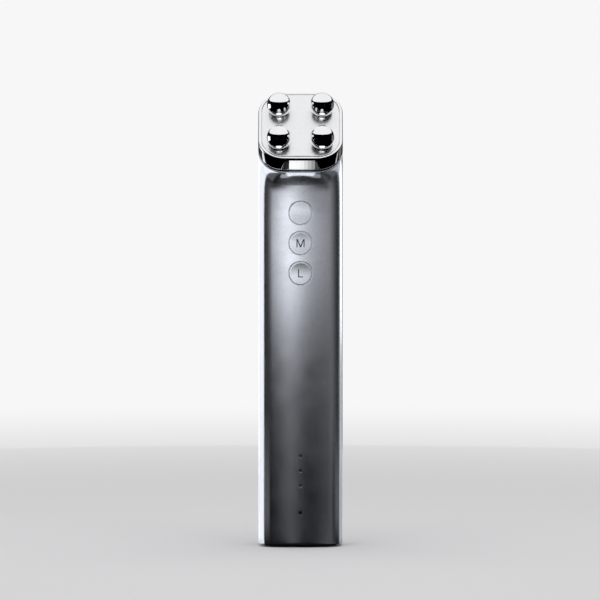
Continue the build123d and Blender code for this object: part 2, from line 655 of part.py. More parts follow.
RETAINER_POCKET_R = FLANGE_R + RETAINER_POCKET_GAP
RETAINER_WIDTH = 2 * (RETAINER_POCKET_R + RETAINER_RIM)
SEAL_RING_R = STEM_R + SLIP + SEAL_RING_WIDTH
with BuildPart() as button_retainer:
    with BuildSketch(front_plane(RETAINER_BACK_Y)):
        with Locations((0, BUTTON_HEIGHTS["mode"])):
            RectangleRounded(
                RETAINER_WIDTH,
                RETAINER_WIDTH + 2 * BUTTON_PITCH,
                RETAINER_WIDTH / 2 - RETAINER_RIM,
            )
    extrude(amount=RETAINER_BACK_Y - FLANGE_FRONT_Y)
    with BuildSketch(front_plane(RETAINER_FRONT_Y)):
        with Locations(*BUTTON_PLACES):
            Circle(RETAINER_POCKET_R)
    extrude(amount=RETAINER_FRONT_Y - FLANGE_FRONT_Y, mode=Mode.SUBTRACT)
    with BuildSketch(front_plane(RETAINER_BACK_Y)):
        with Locations(*BUTTON_PLACES):
            Circle(STEM_R + 2 * SLIP)
    extrude(amount=RETAINER_THICKNESS, mode=Mode.SUBTRACT)
    with BuildSketch(front_plane(RETAINER_BACK_Y)):
        with Locations(*BUTTON_PLACES):
            Circle(SEAL_RING_R + SLIP)
    extrude(amount=SEAL_RING_THICKNESS, mode=Mode.SUBTRACT)
save(button_retainer, "button_retainer")

with BuildPart() as button_seals:
    with BuildSketch(front_plane(RETAINER_BACK_Y)):
        with Locations(*BUTTON_PLACES):
            Circle(SEAL_RING_R)
        screw_holes(BUTTON_PLACES, STEM_R + SLIP)
    extrude(amount=SEAL_RING_THICKNESS)
save(button_seals, "button_seals")

# ---------------------------------------------------------------- indicator lights
with BuildPart() as light_guide:
    for height, radius in DOT_PLACES:
        with BuildSketch(front_plane(GUIDE_FRONT_Y)):
            with Locations((0, height)):
                Circle(radius)
        extrude(amount=GUIDE_FRONT_Y - FRONT_Y - DOT_RECESS)
    with BuildSketch(front_plane(GUIDE_FRONT_Y + GUIDE_THICKNESS)):
        with Locations((0, (GUIDE_LOW_Z + GUIDE_HIGH_Z) / 2)):
            Rectangle(GUIDE_WIDTH, GUIDE_HIGH_Z - GUIDE_LOW_Z)
    extrude(amount=GUIDE_THICKNESS)
    with BuildSketch(front_plane(LED_FRONT_Y - LED_GAP)):
        with Locations(*[(0, height) for height, radius in DOT_PLACES]):
            Rectangle(GUIDE_POST_SIZE, GUIDE_POST_SIZE)
    extrude(amount=LED_FRONT_Y - LED_GAP - GUIDE_FRONT_Y - GUIDE_THICKNESS)
save(light_guide, "light_guide")

with BuildPart() as indicator_leds:
    with BuildSketch(front_plane(BOARD_FRONT_Y)):
        with Locations(*[(0, height) for height, radius in DOT_PLACES]):
            Rectangle(LED_LENGTH, LED_WIDTH)
    extrude(amount=LED_HEIGHT)
save(indicator_leds, "indicator_leds")

# ---------------------------------------------------------------- main board
with BuildPart() as main_board:
    with BuildSketch(front_plane(BOARD_BACK_Y)):
        with Locations((0, BOARD_LOW_Z)):
            Rectangle(BOARD_WIDTH, BOARD_HIGH_Z - BOARD_LOW_Z, align=(Align.CENTER, Align.MIN))
            Rectangle(
                PORT_WIDTH + 2 * PORT_CLEARANCE,
                PORT_TOP_Z + PORT_CLEARANCE - BOARD_LOW_Z,
                align=(Align.CENTER, Align.MIN),
                mode=Mode.SUBTRACT,
            )
        screw_holes(BOARD_SCREW_PLACES, BOARD_SCREW_R + SCREW_CLEARANCE)
    extrude(amount=BOARD_THICKNESS)
save(main_board, "main_board")

with BuildPart() as board_screws:
    with BuildSketch(front_plane(BOARD_FRONT_Y)):
        with Locations(*BOARD_SCREW_PLACES):
            Circle(BOARD_SCREW_HEAD_R)
    extrude(amount=BOARD_SCREW_HEAD)
    with BuildSketch(front_plane(BOARD_FRONT_Y)):
        with Locations(*BOARD_SCREW_PLACES):
            Circle(BOARD_SCREW_R)
    extrude(amount=-(BOARD_THICKNESS + BOARD_SCREW_GRIP))
    with BuildSketch(front_plane(BOARD_FRONT_Y - BOARD_SCREW_HEAD)):
        with Locations(*BOARD_SCREW_PLACES):
            RegularPolygon(BOARD_SCREW_R, 6)
    extrude(amount=-BOARD_SCREW_HEAD / 2, mode=Mode.SUBTRACT)
save(board_screws, "board_screws")

with BuildPart() as controller_chip:
    with BuildSketch(front_plane(BOARD_FRONT_Y)):
        with Locations((0, CHIP_Z)):
            Rectangle(CHIP_SIZE, CHIP_SIZE)
    extrude(amount=CHIP_HEIGHT)
save(controller_chip, "controller_chip")

with BuildPart() as output_transformer:
    for flange_y in (BOARD_FRONT_Y, BOARD_FRONT_Y - COIL_HEIGHT + COIL_FLANGE):
        with BuildSketch(front_plane(flange_y)):
            with Locations((0, COIL_Z)):
                Rectangle(COIL_SIZE, COIL_SIZE)
        extrude(amount=COIL_FLANGE)
    with BuildSketch(front_plane(BOARD_FRONT_Y)):
        with Locations((0, COIL_Z)):
            Circle(COIL_WINDING_R)
    extrude(amount=COIL_HEIGHT)
save(output_transformer, "output_transformer")

with BuildPart() as power_components:
    with BuildSketch(front_plane(BOARD_FRONT_Y)):
        with Locations((0, CAPACITOR_Z)):
            with GridLocations(CAPACITOR_PITCH, CAPACITOR_PITCH, 3, 1):
                Circle(CAPACITOR_R)
    extrude(amount=CAPACITOR_HEIGHT)
save(power_components, "power_components")

# ---------------------------------------------------------------- ribbon to the head
RIBBON_PLUG_Z = BOARD_HIGH_Z - RIBBON_PLUG_WIDTH
RIBBON_Y = BOARD_FRONT_Y - RIBBON_PLUG_HEIGHT / 2
RIBBON_H = CONTACT_BASE_H - RIBBON_PLUG_HEIGHT / 2
with BuildPart() as ribbon_connectors:
    with BuildSketch(front_plane(BOARD_FRONT_Y)):
        with Locations((0, RIBBON_PLUG_Z)):
            Rectangle(RIBBON_PLUG_LENGTH, RIBBON_PLUG_WIDTH, align=(Align.CENTER, Align.MIN))
    extrude(amount=RIBBON_PLUG_HEIGHT)
    with BuildSketch(head_plane(CONTACT_BASE_H)):
        Rectangle(RIBBON_PLUG_LENGTH, RIBBON_PLUG_WIDTH)
    extrude(amount=-RIBBON_PLUG_HEIGHT)
save(ribbon_connectors, "ribbon_connectors")

UP_SLOPE = Vector(0, cos(TILT), sin(TILT))
ribbon_end = HEAD_CENTRE + HEAD_NORMAL * RIBBON_H - UP_SLOPE * (RIBBON_PLUG_WIDTH / 2)
ribbon_turn = ribbon_end - UP_SLOPE * RIBBON_LEAD
with BuildPart() as head_ribbon:
    with BuildSketch(Plane.YZ):
        with BuildLine():
            FilletPolyline(
                (RIBBON_Y, BOARD_HIGH_Z),
                (RIBBON_Y, BOARD_HIGH_Z + RIBBON_RISE),
                (ribbon_turn.Y, ribbon_turn.Z),
                (ribbon_end.Y, ribbon_end.Z),
                radius=RIBBON_BEND_R,
            )
        trace(line_width=RIBBON_THICKNESS)
    extrude(amount=RIBBON_WIDTH / 2, both=True)
save(head_ribbon, "head_ribbon")

# ---------------------------------------------------------------- chassis and cell
with BuildPart() as chassis:
    with BuildSketch(level(CHASSIS_LOW_Z)):
        cavity_outline(CHASSIS_CLEARANCE)
        with Locations((0, BOARD_BACK_Y)):
            Rectangle(BODY_WIDTH, BODY_DEPTH, align=(Align.CENTER, Align.MAX), mode=Mode.SUBTRACT)
    extrude(amount=CHASSIS_HIGH_Z - CHASSIS_LOW_Z)
    with BuildSketch(front_plane(CHASSIS_FLOOR_Y)):
        with Locations((0, BAY_LOW_Z)):
            Rectangle(
                CELL_WIDTH + 2 * BAY_CLEARANCE,
                BAY_HIGH_Z - BAY_LOW_Z,
                align=(Align.CENTER, Align.MIN),
            )
        with Locations((0, CHASSIS_LOW_Z + RELIEF_END)):
            Rectangle(
                RELIEF_WIDTH,
                LOWER_BLOCK - 2 * RELIEF_END,
                align=(Align.CENTER, Align.MIN),
            )
        with Locations((0, BAY_HIGH_Z)):
            Rectangle(
                RELIEF_WIDTH,
                UPPER_BLOCK - RELIEF_END,
                align=(Align.CENTER, Align.MIN),
            )
    extrude(amount=-BODY_DEPTH, mode=Mode.SUBTRACT)
    with BuildSketch(front_plane(BOARD_BACK_Y)):
        with Locations((0, PLUG_LOW_Z)):
            Rectangle(
                PLUG_WIDTH + 2 * BAY_CLEARANCE,
                PLUG_LENGTH + BAY_CLEARANCE,
                align=(Align.CENTER, Align.MIN),
            )
        with Locations((0, CHASSIS_LOW_Z)):
            Rectangle(
                PORT_WIDTH + 2 * BAY_CLEARANCE,
                PORT_TOP_Z + BAY_CLEARANCE - CHASSIS_LOW_Z,
                align=(Align.CENTER, Align.MIN),
            )
    extrude(amount=-CHASSIS_FLOOR, mode=Mode.SUBTRACT)
    with BuildSketch(front_plane(BOARD_BACK_Y)):
        with Locations(*BOARD_SCREW_PLACES):
            Circle(BOARD_SCREW_R)
    extrude(amount=-(BOARD_SCREW_GRIP + SCREW_CLEARANCE), mode=Mode.SUBTRACT)
    with BuildSketch(level(CHASSIS_LOW_Z)):
        with Locations(*BASE_SCREW_PLACES):
            Circle(BASE_SCREW_R)
    extrude(amount=BASE_SCREW_GRIP + SCREW_CLEARANCE, mode=Mode.SUBTRACT)
save(chassis, "chassis")

with BuildPart() as battery_cell:
    with BuildSketch(level(CELL_LOW_Z)):
        with Locations((0, (CELL_FRONT_Y + CELL_BACK_Y) / 2)):
            RectangleRounded(CELL_WIDTH, CELL_THICKNESS, CELL_CORNER_R)
    extrude(amount=CELL_HIGH_Z - CELL_LOW_Z)
save(battery_cell, "battery_cell")

PAD_WIDTH = CELL_WIDTH - 2 * CELL_CORNER_R
PAD_REACH = (CELL_HIGH_Z - CELL_LOW_Z - PAD_LENGTH) / 2
with BuildPart() as battery_pads:
    with BuildSketch(front_plane(CELL_FRONT_Y)):
        with Locations((0, CELL_MID_Z - PAD_REACH), (0, CELL_MID_Z + PAD_REACH)):
            Rectangle(PAD_WIDTH, PAD_LENGTH)
    extrude(amount=PAD_THICKNESS)
save(battery_pads, "battery_pads")

with BuildPart() as battery_foam:
    with BuildSketch(front_plane(CELL_BACK_Y)):
        with Locations((0, CELL_MID_Z)):
            Rectangle(FOAM_WIDTH, FOAM_LENGTH)
    extrude(amount=-FOAM_THICKNESS)
    with BuildSketch(level(CELL_LOW_Z)):
        cavity_outline(FLANGE_GAP)
    extrude(amount=CELL_HIGH_Z - CELL_LOW_Z, mode=Mode.INTERSECT)
save(battery_foam, "battery_foam")

with BuildPart() as battery_plug:
    with BuildSketch(front_plane(BOARD_BACK_Y)):
        with Locations((0, PLUG_LOW_Z)):
            Rectangle(PLUG_WIDTH, PLUG_LENGTH, align=(Align.CENTER, Align.MIN))
    extrude(amount=-PLUG_HEIGHT)
save(battery_plug, "battery_plug")

with BuildPart() as battery_leads:
    with BuildSketch(level(CELL_HIGH_Z)):
        with Locations((0, CELL_FRONT_Y + 2 * LEAD_R)):
            with GridLocations(LEAD_PITCH, LEAD_PITCH, 2, 1):
                Circle(LEAD_R)
    extrude(amount=PLUG_ROOM)
save(battery_leads, "battery_leads")

# ---------------------------------------------------------------- lower end
def port_slot(grow, mode=Mode.ADD):
    """Outline of the charging socket, larger by grow all round, on a level sketch."""
    with Locations((0, BOARD_MID_Y)):
        SlotOverall(PORT_WIDTH + 2 * grow, PORT_HEIGHT + 2 * grow, mode=mode)


BASE_GROOVE_Z = BASE_CAP_Z + (BASE_CAP_THICKNESS - BASE_GROOVE_WIDTH) / 2
BASE_GROOVE_INSET = BASE_CLEARANCE + BASE_GROOVE_DEPTH
with BuildPart() as base_cap:
    with BuildSketch(level(BASE_CAP_Z)):
        cavity_outline(BASE_CLEARANCE)
        port_slot(PORT_CLEARANCE, Mode.SUBTRACT)
        screw_holes(BASE_SCREW_PLACES, BASE_SCREW_R + SCREW_CLEARANCE)
    extrude(amount=BASE_CAP_THICKNESS)
    with BuildSketch(level(BASE_GROOVE_Z)):
        body_outline()
        cavity_outline(BASE_GROOVE_INSET, Mode.SUBTRACT)
    extrude(amount=BASE_GROOVE_WIDTH, mode=Mode.SUBTRACT)
    with BuildSketch(level(BASE_CAP_Z)):
        with Locations(*BASE_SCREW_PLACES):
            Circle(BASE_SCREW_HEAD_R + SCREW_CLEARANCE)
    extrude(amount=BASE_SCREW_SEAT_Z - BASE_CAP_Z, mode=Mode.SUBTRACT)
save(base_cap, "base_cap")

with BuildPart() as base_seal:
    with BuildSketch(level(BASE_GROOVE_Z)):
        cavity_outline()
        cavity_outline(BASE_GROOVE_INSET, Mode.SUBTRACT)
    extrude(amount=BASE_GROOVE_WIDTH)
save(base_seal, "base_seal")

with BuildPart() as base_screws:
    with BuildSketch(level(BASE_SCREW_SEAT_Z - BASE_SCREW_HEAD)):
        with Locations(*BASE_SCREW_PLACES):
            Circle(BASE_SCREW_HEAD_R)
    extrude(amount=BASE_SCREW_HEAD)
    with BuildSketch(level(BASE_SCREW_SEAT_Z)):
        with Locations(*BASE_SCREW_PLACES):
            Circle(BASE_SCREW_R)
    extrude(amount=BASE_CAP_TOP_Z - BASE_SCREW_SEAT_Z + BASE_SCREW_GRIP)
    with BuildSketch(level(BASE_SCREW_SEAT_Z - BASE_SCREW_HEAD)):
        with Locations(*BASE_SCREW_PLACES):
            RegularPolygon(BASE_SCREW_R, 6)
    extrude(amount=BASE_SCREW_HEAD / 2, mode=Mode.SUBTRACT)
save(base_screws, "base_screws")

with BuildPart() as foot_pad:
    with BuildSketch(level(0)):
        cavity_outline(FOOT_INSET)
        port_slot(PORT_FLARE, Mode.SUBTRACT)
    extrude(amount=BASE_CAP_Z)
save(foot_pad, "foot_pad")

with BuildPart() as charge_port_shell:
    with BuildSketch(level(PORT_RECESS)):
        port_slot(0)
        port_slot(-PORT_WALL, Mode.SUBTRACT)
    extrude(amount=PORT_LENGTH)
save(charge_port_shell, "charge_port_shell")

with BuildPart() as charge_port_tongue:
    with BuildSketch(level(PORT_TOP_Z - PORT_BACK)):
        port_slot(-PORT_WALL)
    extrude(amount=PORT_BACK)
    with BuildSketch(level(PORT_RECESS + PORT_TONGUE_INSET)):
        with Locations((0, BOARD_MID_Y)):
            Rectangle(PORT_TONGUE_WIDTH, PORT_TONGUE_THICKNESS)
    extrude(amount=PORT_LENGTH - PORT_BACK - PORT_TONGUE_INSET)
save(charge_port_tongue, "charge_port_tongue")
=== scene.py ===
"""Looks of the facial toning device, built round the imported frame.

Sizes in the classes are millimetres on the frame's own axes (+Z up, -Y the front, the origin
on the ground); Shell turns them into metres. A point of the head is given as (x, v, h): x
across, v up the head's slope from its centre, h along the head's axis above the seam.
"""

import enum
import json
import logging
import math
from collections.abc import Callable
from dataclasses import dataclass, field

import bmesh
import bpy
import numpy as np
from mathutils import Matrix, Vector

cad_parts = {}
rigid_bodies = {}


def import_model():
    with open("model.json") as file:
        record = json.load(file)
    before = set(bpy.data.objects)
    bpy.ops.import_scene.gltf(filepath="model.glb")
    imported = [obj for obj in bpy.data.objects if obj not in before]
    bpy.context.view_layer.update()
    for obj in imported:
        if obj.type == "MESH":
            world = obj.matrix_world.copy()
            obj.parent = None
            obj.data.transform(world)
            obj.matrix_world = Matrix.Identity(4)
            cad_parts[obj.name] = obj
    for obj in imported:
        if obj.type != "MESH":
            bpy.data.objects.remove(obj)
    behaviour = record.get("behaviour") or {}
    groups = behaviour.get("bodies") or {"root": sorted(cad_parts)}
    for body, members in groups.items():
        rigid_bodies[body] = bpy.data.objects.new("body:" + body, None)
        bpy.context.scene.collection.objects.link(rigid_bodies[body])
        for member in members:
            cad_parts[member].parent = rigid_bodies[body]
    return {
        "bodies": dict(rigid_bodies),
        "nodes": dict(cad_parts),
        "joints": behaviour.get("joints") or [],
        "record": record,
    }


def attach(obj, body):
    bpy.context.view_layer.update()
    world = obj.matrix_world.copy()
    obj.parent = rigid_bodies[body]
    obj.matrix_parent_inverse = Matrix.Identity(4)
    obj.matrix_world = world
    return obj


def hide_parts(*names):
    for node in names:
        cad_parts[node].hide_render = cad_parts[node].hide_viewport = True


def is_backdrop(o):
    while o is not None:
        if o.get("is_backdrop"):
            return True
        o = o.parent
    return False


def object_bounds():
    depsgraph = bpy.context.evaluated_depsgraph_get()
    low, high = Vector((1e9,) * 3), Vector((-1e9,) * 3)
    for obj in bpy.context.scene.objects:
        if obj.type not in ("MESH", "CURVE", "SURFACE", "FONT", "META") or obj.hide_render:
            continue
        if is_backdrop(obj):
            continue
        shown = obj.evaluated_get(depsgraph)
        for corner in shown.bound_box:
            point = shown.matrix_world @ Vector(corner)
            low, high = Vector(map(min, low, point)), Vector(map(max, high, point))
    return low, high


MM = 0.001
WELD = 2e-7                 # metres: points closer than this are one
SHARP_ANGLE = math.radians(38)
Array = np.ndarray
log = logging.getLogger("toning_device")


# ---------------------------------------------------------------- shapes
def steps(start: float, stop: float, count: int) -> Array:
    """Evenly spaced values from start to stop, count intervals, stop left out."""
    return np.linspace(start, stop, count, endpoint=False)


def smooth(start: float, stop: float, share: Array) -> Array:
    """Value between start and stop, eased at both ends by 3s^2 - 2s^3."""
    return start + (stop - start) * share * share * (3 - 2 * share)


def stack(x: Array, y: Array, z: Array) -> Array:
    """Points from three coordinate arrays that broadcast together."""
    return np.stack(np.broadcast_arrays(x, y, z), axis=-1).astype(float)


def round_over(radius: float, count: int) -> tuple[Array, Array]:
    """Quarter round: how far in and how far down it lies, from the face to the side.

    Args:
        radius: radius of the rounding.
        count: number of intervals.

    Returns:
        in = r(1 - sin a) and down = r(1 - cos a) for a from 0 to 90 degrees.
    """
    turn = np.linspace(0, math.pi / 2, count + 1)
    return radius * (1 - np.sin(turn)), radius * (1 - np.cos(turn))


@dataclass
class Shell:
    """Patches of one piece's surface, gathered and then welded into a mesh."""

    points: list[Array] = field(default_factory=list)
    faces: list[Array] = field(default_factory=list)
    count: int = 0

    def grid(self, rows: Array, closed: bool = False, keep: Array | None = None) -> None:
        """Add a patch of quads between neighbouring rows and columns.

        Args:
            rows: points as an array of rows x columns x 3, in millimetres.
            closed: join the last column to the first.
            keep: mask of the quads to keep, rows-1 x columns-1.
        """
        high, wide = rows.shape[:2]
        index = np.arange(high * wide).reshape(high, wide) + self.count
        if closed:
            index = np.concatenate([index, index[:, :1]], axis=1)
        corners = (index[:-1, :-1], index[:-1, 1:], index[1:, 1:], index[1:, :-1])
        quads = np.stack(corners, axis=-1)
        self.faces.append(quads[keep] if keep is not None else quads.reshape(-1, 4))
        self.points.append(rows.reshape(-1, 3) * MM)
        self.count += high * wide

    def build(self, name: str) -> bpy.types.Object:
        """Weld the patches, turn all faces outwards and make the object.

        Args:
            name: name of the object and of its mesh.

        Returns:
            the object, smooth but for edges over SHARP_ANGLE.
        """
        mesh = bpy.data.meshes.new(name)
        mesh.from_pydata(np.concatenate(self.points), [], np.concatenate(self.faces).tolist())
        work = bmesh.new()
        work.from_mesh(mesh)
        bmesh.ops.remove_doubles(work, verts=work.verts, dist=WELD)
        bmesh.ops.recalc_face_normals(work, faces=work.faces)
        work.to_mesh(mesh)
        work.free()
        mesh.polygons.foreach_set("use_smooth", np.ones(len(mesh.polygons), bool))
        mesh.set_sharp_from_angle(angle=SHARP_ANGLE)
        piece = bpy.data.objects.new(name, mesh)
        bpy.context.scene.collection.objects.link(piece)
        return piece


def lathe(profile: Array, turns: int) -> tuple[Array, Array, Array]:
    """Turn a profile of (radius, height) points round the height axis.

    Args:
        profile: the points, one a row.
        turns: steps once round.

    Returns:
        across, along and height of the grid: r cos a, r sin a and the height itself, with a
        running once round in turns steps.
    """
    angle = steps(0, 2 * math.pi, turns)
    radius, height = profile[:, :1], profile[:, 1:]
    return radius * np.cos(angle), radius * np.sin(angle), height + 0 * angle


def rounded_loop(
    half_x: float, half_v: float, radius: float, cuts: Array, counts: tuple[int, int, int]
) -> tuple[Array, Array]:
    """Rounded rectangle as a closed loop that starts at the middle of its lower left corner.

    Each side runs from corner middle to corner middle and is cut at two places on its
    straight. A point lies a run from the side's middle; what of the run is past the
    straight is bent round the corner, by turn = overrun / radius.

    Args:
        half_x: half width.
        half_v: half height.
        radius: corner radius.
        cuts: the two cuts in x, then the two in v.
        counts: equal intervals before, between and after the cuts.

    Returns:
        x and v of the points.
    """
    def side(long: float, reach: float, cut: Array) -> tuple[Array, Array]:
        """One side of the loop, from corner middle to corner middle.

        Args:
            long: half its length.
            reach: its distance from the loop's middle.
            cut: its two cuts.

        Returns:
            where its points lie along the side, and how far out.
        """
        straight = long - radius
        end = straight + radius * math.pi / 4
        stops = [-end, *cut, end]
        run = np.concatenate([steps(*span) for span in zip(stops, stops[1:], counts)])
        middle = np.clip(run, -straight, straight)
        turn = (run - middle) / radius
        return middle + radius * np.sin(turn), reach - radius * (1 - np.cos(turn))

    low, right = side(half_x, half_v, cuts[0]), side(half_v, half_x, cuts[1])
    top, left = side(half_x, half_v, -cuts[0][::-1]), side(half_v, half_x, -cuts[1][::-1])
    x = np.concatenate([low[0], right[1], -top[0], -left[1]])
    v = np.concatenate([-low[1], right[0], top[1], -left[0]])
    return x, v


def cell_loop(rows: Array, low: int, high: int, left: int, right: int) -> Array:
    """Border points of a rectangle of grid cells, once round from its lower left corner.

    Args:
        rows: the grid, rows x columns of points or of numbers.
        low: lowest row.
        high: highest row.
        left: first column.
        right: last column.

    Returns:
        the border in order.
    """
    return np.concatenate([
        rows[low, left:right],
        rows[low:high, right],
        rows[high, right:left:-1],
        rows[high:low:-1, left],
    ])


def circle_for(loop: Array, radius: float | Array) -> tuple[Array, Array]:
    """Circle with one point for each point of a cell's border, corners on its diagonals.

    Args:
        loop: the cell's border, once round from its lower left corner.
        radius: the circle's radius, or a column of radii.

    Returns:
        r cos a and r sin a, with a running once round from -135 degrees.
    """
    count = len(loop)
    angle = steps(-0.75 * math.pi, 1.25 * math.pi, count)
    return radius * np.cos(angle), radius * np.sin(angle)


# ---------------------------------------------------------------- the object's own frame
@dataclass(frozen=True)
class Tube:
    """Sizes of the bent tube and of the frame that its tilted head lies in."""

    width: float = 32.0
    depth: float = 24.0
    corner_r: float = 7.0
    bulge_r: float = 40.0
    side_wall: float = 1.6
    front_wall: float = 2.3
    inner_corner_r: float = 5.4
    flat_r: float = 2000.0
    foot_z: float = 1.0
    neck_start_z: float = 137.2
    neck_lead: float = 3.2
    neck_front_r: float = 6.7
    neck_front_run: float = 0.1
    neck_back_r: float = 9.0
    neck_back_run: float = 0.41
    tilt: float = math.radians(48.0)
    head_corner_r: float = 10.0
    head_bulge_r: float = 400.0

    @property
    def front_y(self) -> float:
        """Middle of the front face."""
        return -self.depth / 2

    @property
    def inner_front_y(self) -> float:
        """Flat inner face of the front wall."""
        return self.front_y + self.front_wall

    @property
    def inner_back_y(self) -> float:
        """Middle of the back wall's inner face."""
        return self.depth / 2 - self.side_wall

    @property
    def fan_start_z(self) -> float:
        """Height where the neck's fan of sections starts."""
        return self.neck_start_z - self.neck_lead

    @property
    def seam_front(self) -> tuple[float, float]:
        """Where the seam's front middle lies: upright, arc, then a run along the head's axis.

        Returns:
            Y and Z.
        """
        turn, radius, run = self.tilt, self.neck_front_r, self.neck_front_run
        y = self.front_y - radius * (1 - math.cos(turn)) - run * math.sin(turn)
        return y, self.neck_start_z + radius * math.sin(turn) + run * math.cos(turn)

    @property
    def seam_back(self) -> tuple[float, float]:
        """Where the seam's back middle lies, on the seam plane through seam_front.

        Returns:
            Y and Z.
        """
        turn, radius, run = self.tilt, self.neck_back_r, self.neck_back_run
        y = self.depth / 2 - radius * (1 - math.cos(turn)) - run * math.sin(turn)
        front_y, front_z = self.seam_front
        return y, front_z + (y - front_y) * math.tan(turn)

    @property
    def neck_back_z(self) -> float:
        """Height where the back face leaves the upright."""
        rise = self.neck_back_r * math.sin(self.tilt) + self.neck_back_run * math.cos(self.tilt)
        return self.seam_back[1] - rise

    @property
    def pivot_y(self) -> float:
        """Line that all planes of the neck's sections pass through, in front of the tube."""
        front_y, front_z = self.seam_front
        return front_y - (front_z - self.fan_start_z) / math.tan(self.tilt)

    @property
    def head_length(self) -> float:
        """Length of the head's outline up its slope."""
        return (self.seam_back[0] - self.seam_front[0]) / math.cos(self.tilt)

    def face_y(self, x: Array) -> Array:
        """Bulged front face: an arc of the bulge's radius through the front middle."""
        return self.front_y + self.bulge_r - np.sqrt(self.bulge_r ** 2 - x ** 2)

    def head_point(self, x: Array, v: Array, h: Array) -> Array:
        """Points of the head in the object's frame: centre + x across + v up slope + h out.

        Args:
            x: place across the head.
            v: place up its slope, from its centre.
            h: height above the seam.

        Returns:
            the points on the object's axes.
        """
        centre_y = (self.seam_front[0] + self.seam_back[0]) / 2
        centre_z = (self.seam_front[1] + self.seam_back[1]) / 2
        up, out = math.sin(self.tilt), math.cos(self.tilt)
        return stack(x, centre_y + v * out - h * up, centre_z + v * up + h * out)


@dataclass(frozen=True)
class Outline:
    """How finely a closed tube section is cut up, and where its columns lie."""

    columns: Array
    corner_steps: int = 14
    side_steps: int = 8

    def ring(
        self, width: Array, front: Array, back: Array, corner_r: Array, front_r: Array,
        back_r: Array,
    ) -> tuple[Array, Array]:
        """Closed section: straight sides, bulged front and back, corner arcs that touch both.

        A corner arc's centre lies reach = width/2 - corner_r to the side, and as far from
        the bulge's hub as the two radii differ; it meets the bulge at asin(reach / that).

        Args:
            width: width between the sides. Every value may be a column, one row a section.
            front: place of the front bulge's middle.
            back: place of the back bulge's middle.
            corner_r: radius of the corners.
            front_r: radius of the front bulge.
            back_r: radius of the back bulge.

        Returns:
            x and v of the section, rows x points, once round from the front left corner.
        """
        sizes = (width, front, back, corner_r, front_r, back_r)
        width, front, back, corner_r, front_r, back_r = np.broadcast_arrays(
            *map(np.atleast_2d, sizes))
        half = width / 2
        reach = half - corner_r
        front_v = front + front_r - np.sqrt((front_r - corner_r) ** 2 - reach ** 2)
        back_v = back - back_r + np.sqrt((back_r - corner_r) ** 2 - reach ** 2)
        front_touch = np.arcsin(reach / (front_r - corner_r))
        back_touch = np.arcsin(reach / (back_r - corner_r))
        bend = np.linspace(0, 1, self.corner_steps + 1)[1:-1]
        side = np.linspace(0, 1, self.side_steps + 1)
        quarter = math.pi / 2

        front_x = self.columns * front_r * np.sin(front_touch)
        back_x = -self.columns * back_r * np.sin(back_touch)
        low = front_touch + (quarter - front_touch) * bend
        high = quarter + (quarter - back_touch) * bend
        right_x = np.concatenate([
            reach + corner_r * np.sin(low), half + 0 * side,
            reach + corner_r * np.sin(high)], axis=1)
        right_v = np.concatenate([
            front_v - corner_r * np.cos(low), front_v + (back_v - front_v) * side,
            back_v - corner_r * np.cos(high)], axis=1)
        front_arc = front + front_r - np.sqrt(front_r ** 2 - front_x ** 2)
        back_arc = back - back_r + np.sqrt(back_r ** 2 - back_x ** 2)
        x = np.concatenate([front_x, right_x, back_x, -right_x[:, ::-1]], axis=1)
        return x, np.concatenate([front_arc, right_v, back_arc, right_v[:, ::-1]], axis=1)


TUBE = Tube()


# ---------------------------------------------------------------- finishes
class Texture(enum.Enum):
    """Surface textures that the finishes choose from."""

    BLASTED = "blasted grain"
    POLISHED = "polished with faint wipe marks"
    MOULDED = "moulded"
    PEBBLED = "fine pebble"
    PORES = "open pores"
    TRACES = "copper traces under resist"
    WOUND = "wound wire"
    STRIPED = "lengthwise conductors"


@dataclass(frozen=True)
class Finish:
    """One finish: its colour, how it shines and the texture that lies on it.

    colour and second are linear RGB; second is what the texture's marks turn to. size is
    the texture's period in millimetres, relief its height in millimetres, and spread how far
    the roughness varies.
    """

    slot: str
    colour: tuple[float, float, float]
    roughness: float
    texture: Texture
    size: float
    relief: float
    spread: float = 0.05
    metallic: float = 0.0
    second: tuple[float, float, float] | None = None
    tint: float = 0.06
    coat: float = 0.0

    def make(self, groups: "Groups") -> bpy.types.Material:
        """Build the material: the texture's group drives colour, roughness and bump.

        Args:
            groups: the node groups that finishes share.

        Returns:
            the material, named after its slot.
        """
        material = bpy.data.materials.new(self.slot)
        material.use_nodes = True
        nodes, links = material.node_tree.nodes, material.node_tree.links
        shader = nodes["Principled BSDF"]
        shader.inputs["Metallic"].default_value = self.metallic
        shader.inputs["Coat Weight"].default_value = self.coat
        place = nodes.new("ShaderNodeTexCoord")
        marks = nodes.new("ShaderNodeGroup")
        marks.node_tree = groups.pick(self.texture)
        marks.inputs["Size"].default_value = self.size
        links.new(place.outputs["Object"], marks.inputs["Vector"])

        blend = nodes.new("ShaderNodeMix")
        blend.data_type = "RGBA"
        blend.inputs["A"].default_value = (*self.colour, 1)
        dark = self.second or tuple(channel * (1 - self.tint) for channel in self.colour)
        blend.inputs["B"].default_value = (*dark, 1)
        links.new(marks.outputs["Mask"], blend.inputs["Factor"])
        links.new(blend.outputs["Result"], shader.inputs["Base Color"])

        shine = nodes.new("ShaderNodeMapRange")
        shine.inputs["To Min"].default_value = max(self.roughness - self.spread, 0.01)
        shine.inputs["To Max"].default_value = self.roughness + self.spread
        links.new(marks.outputs["Wear"], shine.inputs["Value"])
        links.new(shine.outputs["Result"], shader.inputs["Roughness"])

        bump = nodes.new("ShaderNodeBump")
        bump.inputs["Distance"].default_value = self.relief * MM
        links.new(marks.outputs["Height"], bump.inputs["Height"])
        links.new(bump.outputs["Normal"], shader.inputs["Normal"])
        return material


